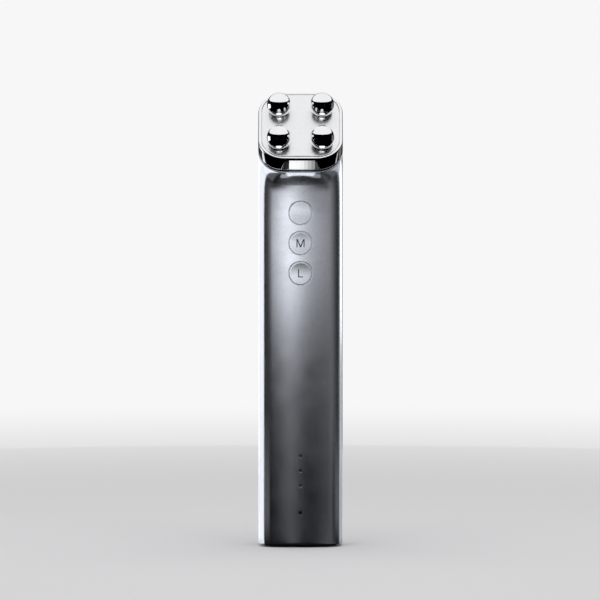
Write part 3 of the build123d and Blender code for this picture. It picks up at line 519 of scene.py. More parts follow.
@dataclass
class Groups:
    """Shader node groups, one for each texture, built once and shared by the finishes.

    A texture's own method takes the group's wires and gives its mask and its height. wear
    is how many worn patches lie on a metre, and wear_span the noise values between which
    their share grows from 0 to 1.
    """

    made: dict[Texture, bpy.types.NodeTree] = field(default_factory=dict)
    wear: float = 90.0
    wear_span: tuple[float, float] = (0.3, 0.7)

    def pick(self, texture: Texture) -> bpy.types.NodeTree:
        """The group of a texture, built when it is first asked for.

        Args:
            texture: the texture.

        Returns:
            its node group.
        """
        if texture not in self.made:
            self.made[texture] = self.build(texture)
        return self.made[texture]

    def build(self, texture: Texture) -> bpy.types.NodeTree:
        """Make a group with inputs Vector and Size (mm) and outputs Mask, Wear and Height.

        Args:
            texture: the texture, whose method has its name.

        Returns:
            the node group.
        """
        tree = bpy.data.node_groups.new(texture.value, "ShaderNodeTree")
        tree.interface.new_socket("Vector", in_out="INPUT", socket_type="NodeSocketVector")
        tree.interface.new_socket("Size", in_out="INPUT", socket_type="NodeSocketFloat")
        for name in ("Mask", "Wear", "Height"):
            tree.interface.new_socket(name, in_out="OUTPUT", socket_type="NodeSocketFloat")
        wires = Wires(tree)
        mask, height = getattr(self, texture.name.lower())(wires)
        worn = wires.noise(wires.given("Vector"), self.wear, detail=3.0)
        wires.give(Mask=mask, Wear=wires.ramp(worn, *self.wear_span), Height=height)
        return tree

    def blasted(self, wires: "Wires") -> tuple:
        """Blasted metal: noise of the given size, its peaks a little brighter.

        Args:
            wires: the group's wires.

        Returns:
            mask and height.
        """
        grain = wires.noise(wires.scaled(1.0), 1.0, detail=2.0)
        coarse = wires.noise(wires.scaled(0.3), 1.0, detail=1.0)
        height = wires.math("ADD", grain, wires.math("MULTIPLY", coarse, 0.5))
        return wires.ramp(coarse, 0.35, 0.75), height

    def polished(self, wires: "Wires") -> tuple:
        """Polished metal: long faint wipe marks, the noise stretched along one axis."""
        wiped = wires.noise(wires.scaled(1.0, (1.0, 1.0, 0.15)), 1.0, detail=4.0)
        return wires.ramp(wiped, 0.45, 0.8), wiped

    def moulded(self, wires: "Wires") -> tuple:
        """Moulded plastic: soft noise, cloudy in colour."""
        cloud = wires.noise(wires.scaled(0.08), 1.0, detail=2.0)
        return wires.ramp(cloud, 0.3, 0.7), wires.noise(wires.scaled(1.0), 1.0, detail=3.0)

    def pebbled(self, wires: "Wires") -> tuple:
        """Textured rubber: rounded cells."""
        cells = wires.cells(wires.scaled(1.0))
        return wires.ramp(cells, 0.1, 0.6), wires.ramp(cells, 0.0, 0.8)

    def pores(self, wires: "Wires") -> tuple:
        """Foam: cells whose middles are pits, painted dark as shade in the pits.

        Args:
            wires: the group's wires.

        Returns:
            mask and height.
        """
        cells = wires.cells(wires.scaled(1.0))
        # the pits' middles are painted dark as shade in the recesses; the same mask sinks them in
        # the height
        shaded_pits = wires.math("SUBTRACT", 1.0, wires.ramp(cells, 0.0, 0.45))
        return shaded_pits, wires.math("SUBTRACT", 1.0, shaded_pits)

    def traces(self, wires: "Wires") -> tuple:
        """Circuit board: narrow bands where a stretched noise crosses set levels.

        Args:
            wires: the group's wires.

        Returns:
            mask and height.
        """
        field_value = wires.noise(wires.scaled(0.12, (1.0, 1.0, 0.35)), 1.0, detail=0.0)
        level = wires.math("FRACT", wires.math("MULTIPLY", field_value, 9.0))
        band = wires.ramp(wires.math("ABSOLUTE", wires.math("SUBTRACT", level, 0.5)), 0.22, 0.16)
        return band, band

    def wound(self, wires: "Wires") -> tuple:
        """Wound wire: half-round ridges stacked front to back, the grooves between them painted
        darker as shade.
        """
        turns = wires.waves(wires.scaled(1.0), "Y")
        # mask is 1 - ridge height: the grooves between the turns are painted darker as shade
        return wires.math("SUBTRACT", 1.0, turns), turns

    def striped(self, wires: "Wires") -> tuple:
        """Ribbon: conductors side by side across the width."""
        lines = wires.ramp(wires.waves(wires.scaled(1.0), "X"), 0.45, 0.6)
        return lines, lines


@dataclass
class Wires:
    """Short calls that add nodes to a group and join them."""

    tree: bpy.types.NodeTree

    def __post_init__(self) -> None:
        """Add the group's two ends."""
        self.source = self.tree.nodes.new("NodeGroupInput")
        self.sink = self.tree.nodes.new("NodeGroupOutput")

    def given(self, name: str) -> bpy.types.NodeSocket:
        """One of the group's inputs."""
        return self.source.outputs[name]

    def give(self, **values: bpy.types.NodeSocket) -> None:
        """Join values to the group's outputs."""
        for name, value in values.items():
            self.tree.links.new(value, self.sink.inputs[name])

    def feed(self, node: bpy.types.Node, name: str | int, value: object) -> None:
        """Join a socket to a node's input, or set the input to a plain value.

        Args:
            node: the node.
            name: its input's name or number.
            value: a socket, or a plain value.
        """
        if isinstance(value, bpy.types.NodeSocket):
            self.tree.links.new(value, node.inputs[name])
        else:
            node.inputs[name].default_value = value

    def math(self, operation: str, first: object, second: object = 0.0) -> bpy.types.NodeSocket:
        """A Math node.

        Args:
            operation: what it does.
            first: a socket or a number.
            second: a socket or a number.

        Returns:
            its result.
        """
        node = self.tree.nodes.new("ShaderNodeMath")
        node.operation = operation
        self.feed(node, 0, first)
        self.feed(node, 1, second)
        return node.outputs[0]

    def scaled(self, share: float, stretch: tuple = (1.0, 1.0, 1.0)) -> bpy.types.NodeSocket:
        """The group's vector in units of Size / share millimetres, stretched by axis.

        Args:
            share: how many units lie on one Size.
            stretch: factor for each axis.

        Returns:
            the vector.
        """
        per_metre = self.math("DIVIDE", share / MM, self.given("Size"))
        grow = self.tree.nodes.new("ShaderNodeVectorMath")
        grow.operation = "SCALE"
        self.feed(grow, 0, self.given("Vector"))
        self.feed(grow, "Scale", per_metre)
        pull = self.tree.nodes.new("ShaderNodeVectorMath")
        pull.operation = "MULTIPLY"
        self.feed(pull, 0, grow.outputs["Vector"])
        pull.inputs[1].default_value = stretch
        return pull.outputs["Vector"]

    def noise(self, vector: object, scale: float, detail: float) -> bpy.types.NodeSocket:
        """Noise from 0 to 1.

        Args:
            vector: where it is read.
            scale: cells in a unit.
            detail: finer layers.

        Returns:
            the value.
        """
        node = self.tree.nodes.new("ShaderNodeTexNoise")
        self.feed(node, "Vector", vector)
        node.inputs["Scale"].default_value = scale
        node.inputs["Detail"].default_value = detail
        return node.outputs["Fac"]

    def cells(self, vector: object) -> bpy.types.NodeSocket:
        """Distance to the nearest cell's middle.

        Args:
            vector: where it is read, one cell a unit.

        Returns:
            the distance.
        """
        node = self.tree.nodes.new("ShaderNodeTexVoronoi")
        self.feed(node, "Vector", vector)
        node.inputs["Scale"].default_value = 1.0
        return node.outputs["Distance"]

    def waves(self, vector: object, axis: str) -> bpy.types.NodeSocket:
        """Bands across an axis, one a unit.

        Args:
            vector: where they are read.
            axis: X, Y or Z.

        Returns:
            the value, from 0 to 1 and back.
        """
        node = self.tree.nodes.new("ShaderNodeTexWave")
        node.bands_direction = axis
        self.feed(node, "Vector", vector)
        node.inputs["Scale"].default_value = 1 / (2 * math.pi)
        return node.outputs["Fac"]

    def ramp(self, value: object, low: float, high: float) -> bpy.types.NodeSocket:
        """0 below low, 1 above high, straight between, and turned round if low > high.

        Args:
            value: a socket.
            low: where it starts.
            high: where it ends.

        Returns:
            the share.
        """
        node = self.tree.nodes.new("ShaderNodeMapRange")
        self.feed(node, "Value", value)
        node.inputs["From Min"].default_value = low
        node.inputs["From Max"].default_value = high
        return node.outputs["Result"]


ALUMINIUM = (0.634, 0.665, 0.731)
FINISHES = (
    Finish("satin_aluminium", ALUMINIUM, 0.17, Texture.BLASTED, 0.22, 0.0030, 0.03, metallic=1.0),
    Finish("cap_aluminium", ALUMINIUM, 0.17, Texture.BLASTED, 0.22, 0.0030, 0.03, metallic=1.0),
    Finish("polished_chrome", (0.93, 0.935, 0.95), 0.045, Texture.POLISHED, 3.0, 0.0002, 0.02, 1.0),
    Finish("pearl_plate", (0.92, 0.925, 0.94), 0.30, Texture.BLASTED, 0.18, 0.0015, 0.03, 1.0),
    Finish("black_seal", (0.012, 0.012, 0.013), 0.55, Texture.PEBBLED, 0.25, 0.004),
    Finish("insulator", (0.02, 0.02, 0.022), 0.42, Texture.MOULDED, 0.3, 0.003),
    Finish("smoked_lens", (0.006, 0.006, 0.008), 0.12, Texture.POLISHED, 1.5, 0.0005, coat=0.4),
    Finish("legend_ink", (0.055, 0.057, 0.062), 0.5, Texture.MOULDED, 0.2, 0.001),
    Finish("switch_body", (0.05, 0.05, 0.055), 0.45, Texture.MOULDED, 0.3, 0.004),
    Finish("plunger", (0.5, 0.07, 0.05), 0.4, Texture.MOULDED, 0.4, 0.003),
    Finish("board", (0.012, 0.10, 0.05), 0.3, Texture.TRACES, 0.5, 0.02,
           second=(0.03, 0.20, 0.09), coat=0.3),
    Finish("component", (0.03, 0.03, 0.033), 0.5, Texture.MOULDED, 0.3, 0.003),
    # the copper's darker second colour is painted shade in the grooves between the wire's turns
    Finish("copper", (0.72, 0.36, 0.18), 0.28, Texture.WOUND, 0.35, 0.05,
           second=(0.30, 0.11, 0.05), metallic=1.0),
    Finish("can", (0.75, 0.76, 0.78), 0.22, Texture.POLISHED, 1.0, 0.001, metallic=1.0),
    Finish("steel", (0.56, 0.565, 0.575), 0.28, Texture.POLISHED, 0.8, 0.001, metallic=1.0),
    Finish("cell_wrap", (0.03, 0.11, 0.30), 0.25, Texture.MOULDED, 1.2, 0.01, coat=0.3),
    # the foam's second colour is painted shade in its pits
    Finish("foam", (0.05, 0.05, 0.055), 0.85, Texture.PORES, 0.5, 0.12, second=(0.01, 0.01, 0.011)),
    Finish("lead", (0.5, 0.03, 0.02), 0.4, Texture.MOULDED, 0.5, 0.004),
    Finish("connector", (0.75, 0.74, 0.68), 0.35, Texture.MOULDED, 0.5, 0.003),
    Finish("ribbon", (0.42, 0.16, 0.03), 0.25, Texture.STRIPED, 0.8, 0.01,
           second=(0.62, 0.32, 0.14), coat=0.2),
    Finish("frame_plastic", (0.06, 0.06, 0.065), 0.5, Texture.MOULDED, 0.35, 0.006),
    Finish("lamp", (0.85, 0.80, 0.55), 0.2, Texture.MOULDED, 0.5, 0.002, coat=0.3),
    Finish("foot_rubber", (0.016, 0.016, 0.017), 0.62, Texture.PEBBLED, 0.45, 0.02),
)


@dataclass
class Wardrobe:
    """The made materials by slot, and the calls that dress pieces with them."""

    materials: dict[str, bpy.types.Material]

    @classmethod
    def make(cls) -> "Wardrobe":
        """Build every finish."""
        groups = Groups()
        return cls({finish.slot: finish.make(groups) for finish in FINISHES})

    def dress(self, piece: bpy.types.Object, slot: str) -> None:
        """Give a piece one finish."""
        piece.data.materials.clear()
        piece.data.materials.append(self.materials[slot])

    def place(self, piece: bpy.types.Object, slot: str, body: str, *nodes: str) -> None:
        """Dress a new piece, set it on its body and let it stand for CAD nodes.

        Args:
            piece: the finished piece, its place in its mesh.
            slot: the finish.
            body: the body that it rides on.
            nodes: CAD nodes that it stands for, or none.
        """
        self.dress(piece, slot)
        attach(piece, body)
        if nodes:
            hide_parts(*nodes)
        log.info("%s: %d faces, %s", piece.name, len(piece.data.polygons), slot)


# ---------------------------------------------------------------- housing
@dataclass(frozen=True)
class Hole:
    """A round hole through the front wall."""

    radius: float
    edge: float


@dataclass(frozen=True)
class Housing:
    """The bent aluminium tube with its button and lamp holes."""

    foot_edge_r: float = 0.25
    seam_edge_r: float = 0.4
    column_step: float = 0.57        # across the front, out to the button cells' sides
    button_cell: int = 10            # half a button cell, in columns
    dot_cell: int = 5
    rim_columns: int = 8
    neck_rows: int = 44
    swell: float = 0.50              # how far the front leads into the neck's bend
    swell_power: float = 1.6
    swell_low: float = 125.0
    swell_top: float = 137.4
    swell_end: float = 142.2
    last_lean: float = 0.93          # share of the tilt where the fan hands over to the seam
    button_heights: tuple[float, ...] = (104.0, 115.4, 126.8)
    button_hole: Hole = Hole(4.5, 0.10)
    dot_heights: tuple[float, ...] = (13.1, 23.5, 29.1, 34.7)
    dot_radii: tuple[float, ...] = (0.75, 0.525, 0.525, 0.525)
    dot_edge: float = 0.02
    row_step: float = 1.6            # height of the rows between the cells, at most
    lead_rows: int = 4               # rows from the last cell up to the neck
    edge_steps: int = 4              # intervals of the foot's and the holes' roundings
    seam_steps: int = 5
    hole_rings: int = 8              # from a cell's border to its hole, outside
    ring_crowding: float = 0.8       # power of their share; below 1 they crowd at the hole
    back_rings: int = 3              # from the hole to the cell's border, inside

    def outline(self) -> Outline:
        """Columns across the front: even to the cells' sides, then on to the corner arcs.

        Returns:
            the outline with its columns as shares of the front arc, -1 to 1.
        """
        touch = (TUBE.width / 2 - TUBE.corner_r) * TUBE.bulge_r / (TUBE.bulge_r - TUBE.corner_r)
        inner = self.column_step * np.arange(self.button_cell + 1)
        outer = np.linspace(inner[-1], touch, self.rim_columns + 1)[1:]
        right = np.concatenate([inner, outer]) / touch
        return Outline(np.concatenate([-right[:0:-1], right]))

    def levels(self) -> tuple[Array, list[tuple[int, int, int, float, float, float]]]:
        """Heights of the upright's rows, and each hole's cell.

        Returns:
            the heights, and for each hole its lower and upper row, half width in columns,
            height, radius and edge rounding.
        """
        pitch = self.button_heights[1] - self.button_heights[0]
        dot_pitch = self.dot_heights[2] - self.dot_heights[1]
        cells = [
            (height, dot_pitch / 2, self.dot_cell, radius, self.dot_edge)
            for height, radius in zip(self.dot_heights, self.dot_radii)
        ]
        cells += [
            (height, pitch / 2, self.button_cell, self.button_hole.radius, self.button_hole.edge)
            for height in self.button_heights
        ]
        heights, found = [TUBE.foot_z + self.foot_edge_r], []
        for centre, half, columns, radius, edge in cells:
            gap = centre - half - heights[-1]
            if gap > WELD:
                count = max(2, round(gap / self.row_step))
                heights += list(np.linspace(heights[-1], centre - half, count + 1)[1:])
            low = len(heights) - 1
            heights += list(np.linspace(heights[-1], centre + half, 2 * columns + 1)[1:])
            found.append((low, len(heights) - 1, columns, centre, radius, edge))
        heights += list(np.linspace(heights[-1], TUBE.fan_start_z, self.lead_rows + 1)[1:])
        return np.array(heights), found

    def crossing(
        self, lean: Array, face_y: float, bend_z: float, bend_r: float
    ) -> tuple[Array, Array]:
        """Where section planes at angle lean meet the front or back profile of the neck.

        The profile runs upright at face_y to bend_z, along an arc of bend_r forwards and out
        along the head's axis; each plane is cut with all three, and the first that holds is
        kept.

        Args:
            lean: the planes' angles.
            face_y: place of the upright face's middle.
            bend_z: height where the arc starts.
            bend_r: radius of the arc.

        Returns:
            distance from the pivot line, and the angle between plane and profile normal.
        """
        tilt = TUBE.tilt
        upright = (face_y - TUBE.pivot_y) / np.cos(lean)
        hub_y, hub_z = face_y - bend_r - TUBE.pivot_y, bend_z - TUBE.fan_start_z
        along = hub_y * np.cos(lean) + hub_z * np.sin(lean)
        reach = along + np.sqrt(np.maximum(along ** 2 - hub_y ** 2 - hub_z ** 2 + bend_r ** 2, 0))
        turn = np.arctan2(reach * np.sin(lean) - hub_z, reach * np.cos(lean) - hub_y)
        end_y, end_z = hub_y + bend_r * math.cos(tilt), hub_z + bend_r * math.sin(tilt)
        run = (end_y * math.cos(tilt) + end_z * math.sin(tilt)) / np.cos(tilt - lean)
        below = TUBE.fan_start_z + upright * np.sin(lean) <= bend_z
        distance = np.where(below, upright, np.where(turn <= tilt, reach, run))
        skew = np.where(below, lean, np.where(turn <= tilt, lean - turn, tilt - lean))
        return distance, skew

    def neck(self, outline: Outline, shares: Array, inner: bool) -> Array:
        """The neck's skin: sections on planes that fan out from the pivot line.

        Corner radius and bulge curvature go from the body's to the head's with an eased
        share, the outer front's curvature with its square; a point of a section lies at
        pivot + v (cos lean, sin lean) in Y and Z.

        Args:
            outline: how the sections are cut up.
            shares: share of the tilt of each section.
            inner: make the inner skin.

        Returns:
            the skin, sections x points x 3.
        """
        share = shares[:, None]
        lean = TUBE.tilt * share
        front, front_skew = self.crossing(lean, TUBE.front_y, TUBE.neck_start_z, TUBE.neck_front_r)
        back, back_skew = self.crossing(lean, TUBE.depth / 2, TUBE.neck_back_z, TUBE.neck_back_r)
        bulge = 1 / smooth(1 / TUBE.bulge_r, 1 / TUBE.head_bulge_r, share)
        if inner:
            wall = smooth(TUBE.front_wall, TUBE.side_wall, share)
            corner = smooth(TUBE.inner_corner_r, TUBE.head_corner_r - TUBE.side_wall, share)
            flat = 1 / smooth(1 / TUBE.flat_r, 1 / TUBE.head_bulge_r, share)
            x, v = outline.ring(
                TUBE.width - 2 * TUBE.side_wall,
                front + wall / np.cos(front_skew),
                back - TUBE.side_wall / np.cos(back_skew),
                corner, flat, bulge - TUBE.side_wall,
            )
        else:
            corner = smooth(TUBE.corner_r, TUBE.head_corner_r, share)
            late = 1 / smooth(1 / TUBE.bulge_r, 1 / TUBE.head_bulge_r, share ** 2)
            x, v = outline.ring(TUBE.width, front, back, corner, late, bulge)
        return stack(x, TUBE.pivot_y + v * np.cos(lean), TUBE.fan_start_z + v * np.sin(lean))

    def eased(self, rows: Array) -> Array:
        """Rows of the outer skin with a soft lead into the neck's bend on the front side.

        Points move forwards by swell u^power, where u runs from 0 at the low height to 1 at
        the top one and on, times a share eased from 1 at the top height to 0 at the end.
        The move is less towards the sides, by (y / front y)^2.

        Args:
            rows: points of the outer skin.

        Returns:
            the moved points.
        """
        y, z = rows[..., 1], rows[..., 2]
        rise = np.maximum((z - self.swell_low) / (self.swell_top - self.swell_low), 0)
        fall = np.clip((z - self.swell_top) / (self.swell_end - self.swell_top), 0, 1)
        push = self.swell * rise ** self.swell_power * smooth(1, 0, fall)
        moved = rows.copy()
        moved[..., 1] = y - push * np.clip(y / TUBE.front_y, 0, 1) ** 2
        return moved

    def skins(self, outline: Outline, heights: Array) -> tuple[Array, Array]:
        """Outer and inner skin from foot to seam, rows x points x 3, row for row alike.

        Args:
            outline: how the sections are cut up.
            heights: heights of the upright's rows.

        Returns:
            the outer skin and the inner skin.
        """
        inset, drop = round_over(self.foot_edge_r, self.edge_steps)
        rim = inset[:, None]
        x, y = outline.ring(
            TUBE.width - 2 * rim, TUBE.front_y + rim, TUBE.depth / 2 - rim,
            TUBE.corner_r - rim, TUBE.bulge_r - rim, TUBE.bulge_r - rim,
        )
        foot = stack(x, y, TUBE.foot_z + drop[:, None])
        x, y = outline.ring(
            TUBE.width, TUBE.front_y, TUBE.depth / 2, TUBE.corner_r, TUBE.bulge_r, TUBE.bulge_r)
        upright = stack(x, y, heights[:, None])
        shares = np.linspace(0, self.last_lean, self.neck_rows + 1)[1:]
        neck = self.neck(outline, shares, inner=False)
        half = TUBE.head_length / 2
        inset, drop = round_over(self.seam_edge_r, self.seam_steps)
        rim = inset[::-1, None]
        x, v = outline.ring(
            TUBE.width - 2 * rim, rim - half, half - rim,
            TUBE.head_corner_r - rim, TUBE.head_bulge_r, TUBE.head_bulge_r,
        )
        seam = TUBE.head_point(x, v, -drop[::-1, None])
        outer = np.concatenate([foot[:-1], upright, self.eased(neck), seam])
        outer[len(foot) - 1:len(foot) - 1 + len(heights)] = self.eased(upright)

        x, y = outline.ring(
            TUBE.width - 2 * TUBE.side_wall, TUBE.inner_front_y, TUBE.inner_back_y,
            TUBE.inner_corner_r, TUBE.flat_r, TUBE.bulge_r - TUBE.side_wall,
        )
        straight = stack(x, y, np.append(TUBE.foot_z, heights)[:, None])
        inner_neck = self.neck(outline, np.append(shares, 1.0), inner=True)
        return outer, np.concatenate([straight, inner_neck])

    def hole(self, outer: Array, inner: Array, cell: tuple, middle: int) -> Array:
        """Surface of one hole, from its cell's border on the outside to the one inside.

        Rings blend from the border to the circle, follow the bulged face and round its edge,
        then run straight through to the flat inner face and out to its border.

        Args:
            outer: the outer skin's upright rows.
            inner: the inner skin's upright rows.
            cell: as levels gives it.
            middle: the column at x = 0.

        Returns:
            the rings, rings x points x 3.
        """
        low, high, columns, centre, radius, edge = cell
        border = cell_loop(outer, low, high, middle - columns, middle + columns)
        inside = cell_loop(inner, low, high, middle - columns, middle + columns)
        share = np.linspace(0, 1, self.hole_rings + 1)[:, None] ** self.ring_crowding
        ring_x, ring_z = circle_for(border, radius + edge)
        x = border[:, 0] * (1 - share) + ring_x * share
        z = border[:, 2] * (1 - share) + (ring_z + centre) * share
        face = self.eased(stack(x, TUBE.face_y(x), z))
        inset, drop = round_over(edge, self.edge_steps)
        ring_x, ring_z = circle_for(border, radius + inset[1:, None])
        bend = self.eased(stack(ring_x, TUBE.face_y(ring_x) + drop[1:, None], ring_z + centre))
        ring_x, ring_z = circle_for(border, radius)
        through = stack(ring_x, inside[:, 1], ring_z + centre)[None]
        back_share = np.linspace(1, 0, self.back_rings + 1)[1:, None]
        x = inside[:, 0] * (1 - back_share) + ring_x * back_share
        z = inside[:, 2] * (1 - back_share) + (ring_z + centre) * back_share
        back = stack(x, inside[:, 1] + 0 * x, z)
        return np.concatenate([face, bend, through, back])

    def build(self, wardrobe: Wardrobe) -> None:
        """Make the housing as one closed shell: outer skin, inner skin, holes and rims.

        Args:
            wardrobe: the finishes.
        """
        outline = self.outline()
        heights, cells = self.levels()
        outer, inner = self.skins(outline, heights)
        middle = len(outline.columns) // 2
        outer_start = int(np.argmin(np.abs(outer[:, 0, 2] - heights[0])))
        shell = Shell()
        for skin, start in ((outer, outer_start), (inner, 1)):
            keep = np.ones((len(skin) - 1, skin.shape[1]), bool)
            for low, high, columns, *_ in cells:
                keep[start + low:start + high, middle - columns:middle + columns] = False
            shell.grid(skin, closed=True, keep=keep)
        upright = slice(outer_start, outer_start + len(heights))
        for cell in cells:
            shell.grid(self.hole(outer[upright], inner[1:], cell, middle), closed=True)
        shell.grid(np.stack([outer[0], inner[0]]), closed=True)
        shell.grid(np.stack([outer[-1], inner[-1]]), closed=True)
        wardrobe.place(shell.build("housing_tube"), "satin_aluminium", "body", "housing")


# ---------------------------------------------------------------- head
@dataclass(frozen=True)
class Head:
    """Seal, bezel, plate, electrodes and collars, stacked along the head's axis."""

    seal_inset: float = 0.65
    seal_width: float = 0.9
    seal_height: float = 0.6
    bezel_height: float = 6.77
    bezel_edge_r: float = 1.0
    bezel_rim: float = 1.2
    bezel_wall: float = 2.6
    rim_round: float = 0.12
    spigot_inset: float = 1.75
    spigot_depth: float = 1.2
    spigot_ease: float = 0.9
    ledge_inset: float = 3.1
    ledge_thickness: float = 0.8
    ledge_corner: float = 6.1
    plate_inset: float = 1.32
    plate_thickness: float = 1.6
    plate_proud: float = 0.1
    plate_dome_r: float = 180.0
    plate_round: float = 0.35
    plate_hole_r: float = 3.9
    hole_round: float = 0.15
    cell_half: float = 4.6           # from a hole's centre to where the cells are cut
    frame_width: float = 0.8         # from the plate's outline to its grid
    electrode_x: float = 8.15
    electrode_inset_v: float = 8.15
    electrode_pitch_v: float = 16.68
    ball_r: float = 4.65
    ball_lift: float = 3.0
    shoulder_r: float = 3.0
    bore_r: float = 0.8
    bore_depth: float = 2.6
    collar_r: float = 3.85
    collar_bore: float = 3.05
    collar_sink: float = 0.65
    collar_flange: float = 4.2
    collar_round: float = 0.12
    front_columns: int = 25          # points across the outline's front and back
    corner_steps: int = 20
    side_steps: int = 16
    lip_points: int = 9              # of the seal's rounded lip
    bezel_steps: int = 14            # intervals of each edge's rounding
    rim_steps: int = 4
    plate_counts: tuple[int, int, int] = (20, 8, 20)
    border_rings: int = 3            # between the plate's grid and its rounded edge
    plate_steps: int = 6
    hole_rings: int = 6
    hole_steps: int = 4
    ball_rows: int = 56
    collar_steps: int = 3
    turns: int = 96

    @property
    def bezel_top(self) -> float:
        """Height of the bezel's rim."""
        return self.seal_height + self.bezel_height

    @property
    def plate_edge(self) -> float:
        """Height of the plate's face at its upper and lower edge."""
        return self.bezel_top + self.plate_proud

    @property
    def plate_base(self) -> float:
        """Height of the plate's underside and of its seat."""
        return self.plate_edge - self.plate_thickness

    @property
    def ledge_h(self) -> float:
        """Height of the ledge's underside and of the electrodes' feet."""
        return self.plate_base - self.ledge_thickness

    @property
    def ball_h(self) -> float:
        """Height of the ball centres."""
        return self.plate_edge + self.ball_lift

    @property
    def places(self) -> dict[str, tuple[float, float]]:
        """Where each electrode stands on the head.

        Returns:
            x and v of each, by its name.
        """
        lower = self.electrode_inset_v - TUBE.head_length / 2
        rows = {"upper": lower + self.electrode_pitch_v, "lower": lower}
        sides = {"left": -self.electrode_x, "right": self.electrode_x}
        return {f"{row}_{side}": (sides[side], rows[row]) for row in rows for side in sides}

    def ring(self, inset: Array, height: Array, corner: Array | None = None) -> Array:
        """Rings that follow the head's outline, one a row, each inset and at its height.

        Args:
            inset: how far in each ring lies.
            height: its height above the seam.
            corner: its corner radius, or none for the outline's less the inset.

        Returns:
            the rings, rings x points x 3.
        """
        across = np.linspace(-1, 1, self.front_columns)
        columns = Outline(across, self.corner_steps, self.side_steps)
        inset, height = inset[:, None], height[:, None]
        corner = TUBE.head_corner_r - inset if corner is None else corner[:, None]
        half = TUBE.head_length / 2
        x, v = columns.ring(
            TUBE.width - 2 * inset, inset - half, half - inset,
            corner, TUBE.head_bulge_r, TUBE.head_bulge_r,
        )
        return TUBE.head_point(x, v, height)

    def build_seal(self, wardrobe: Wardrobe) -> None:
        """Rubber ring with a rounded outer lip, closed in section.

        Args:
            wardrobe: the finishes.
        """
        turn = np.linspace(-math.pi / 2, math.pi / 2, self.lip_points)
        half = self.seal_height / 2
        lip_inset = self.seal_inset + half * (1 - np.cos(turn))
        lip_height = half + half * np.sin(turn)
        far = self.seal_inset + self.seal_width
        inset = np.concatenate([lip_inset, [far, far], lip_inset[:1]])
        height = np.concatenate([lip_height, [self.seal_height, 0.0], lip_height[:1]])
        shell = Shell()
        shell.grid(self.ring(inset, height), closed=True)
        wardrobe.place(shell.build("seam_seal"), "black_seal", "body", "head_seal")

    def build_bezel(self, wardrobe: Wardrobe) -> None:
        """Chrome ring: one closed section carried round the head's outline.

        From the foot the section goes up the outer wall, over the large edge round, across
        the rim, down the pocket to the plate's seat, and back down the ledge and spigot.

        Args:
            wardrobe: the finishes.
        """
        edge_in, edge_down = round_over(self.bezel_edge_r, self.bezel_steps)
        rim_in, rim_down = round_over(self.rim_round, self.rim_steps)
        top, seat, foot = self.bezel_top, self.plate_base, self.seal_height
        inset = np.concatenate([
            edge_in, edge_in[::-1], self.bezel_rim - rim_in,
            [self.bezel_rim, self.ledge_inset, self.ledge_inset],
            [self.bezel_wall, self.bezel_wall, self.spigot_inset, self.spigot_inset],
        ])
        height = np.concatenate([
            foot + edge_down, top - edge_down[::-1], top - rim_down,
            [seat, seat, self.ledge_h],
            [self.ledge_h, -self.spigot_depth, -self.spigot_depth, foot],
        ])
        corner = TUBE.head_corner_r - inset
        corner[-5:-3] = self.ledge_corner
        corner[-2:] += self.spigot_ease
        section = self.ring(inset, height, corner)
        shell = Shell()
        shell.grid(np.concatenate([section, section[:1]]), closed=True)
        wardrobe.place(shell.build("chrome_bezel"), "polished_chrome", "body", "head_bezel")

    def dome(self, x: Array, v: Array) -> Array:
        """Height of the plate's face: a sphere cap that meets the edge height up the slope.

        Args:
            x: place across.
            v: place up the slope.

        Returns:
            height above the seam.
        """
        half = TUBE.head_length / 2 - self.plate_inset
        rise = self.plate_dome_r - math.sqrt(self.plate_dome_r ** 2 - half ** 2)
        return self.plate_edge + rise - self.plate_dome_r + np.sqrt(
            self.plate_dome_r ** 2 - x ** 2 - v ** 2)

    def build_plate(self, wardrobe: Wardrobe) -> None:
        """Domed plate: a middle grid with a cell round each hole, and a border.

        The grid's outermost points lie on a rounded loop within the outline, which rings
        join to the outline; the face height is the dome's everywhere, less the rounding
        near the outline and the holes.

        Args:
            wardrobe: the finishes.
        """
        counts = self.plate_counts
        centres = np.array(list(self.places.values()))
        reach = np.array([self.cell_half, -self.cell_half])
        cuts = np.stack([np.unique(centres[:, k]) + reach for k in (0, 1)])
        half_x = TUBE.width / 2 - self.plate_inset
        half_v = TUBE.head_length / 2 - self.plate_inset
        radius = TUBE.head_corner_r - self.plate_inset

        def loop(inset: float) -> tuple[Array, Array]:
            """The plate's outline, inset, cut where the grid's cells meet it."""
            return rounded_loop(half_x - inset, half_v - inset, radius - inset, cuts, counts)

        def axis(half: float, cut: Array) -> Array:
            """Grid lines along one axis, even before, between and after the cuts.

            Args:
                half: half the grid's length.
                cut: the two cuts.

            Returns:
                the places of the lines.
            """
            stops = [-half, *cut, half]
            lines = [steps(*span) for span in zip(stops, stops[1:], counts)]
            return np.append(np.concatenate(lines), half)

        x, v = np.meshgrid(
            axis(half_x - self.frame_width, cuts[0]), axis(half_v - self.frame_width, cuts[1]))
        side = sum(counts)
        rim = cell_loop(np.arange(x.size).reshape(x.shape), 0, side, 0, side)
        x.flat[rim], v.flat[rim] = loop(self.frame_width)
        keep = np.ones((side, side), bool)
        cell = counts[0]
        corners = [(a, b) for a in (0, side - cell) for b in (0, side - cell)]
        for a, b in corners:
            keep[a:a + cell, b:b + cell] = False
        top_grid = stack(x, v, self.dome(x, v))
        low_grid = stack(x, v, self.plate_base)
        shell = Shell()
        shell.grid(self.lift(top_grid), keep=keep)
        shell.grid(self.lift(low_grid), keep=keep)

        rows = [cell_loop(top_grid, 0, side, 0, side)]
        inset, drop = round_over(self.plate_round, self.plate_steps)
        flat = np.linspace(self.frame_width, self.plate_round, self.border_rings + 1)[1:-1]
        for a, b in zip(np.append(flat, inset), np.append(0 * flat, drop)):
            ring_x, ring_v = loop(a)
            rows.append(stack(ring_x, ring_v, self.dome(ring_x, ring_v) - b))
        rows.append(stack(ring_x, ring_v, self.plate_base))
        rows.append(cell_loop(low_grid, 0, side, 0, side))
        shell.grid(self.lift(np.stack(rows)), closed=True)

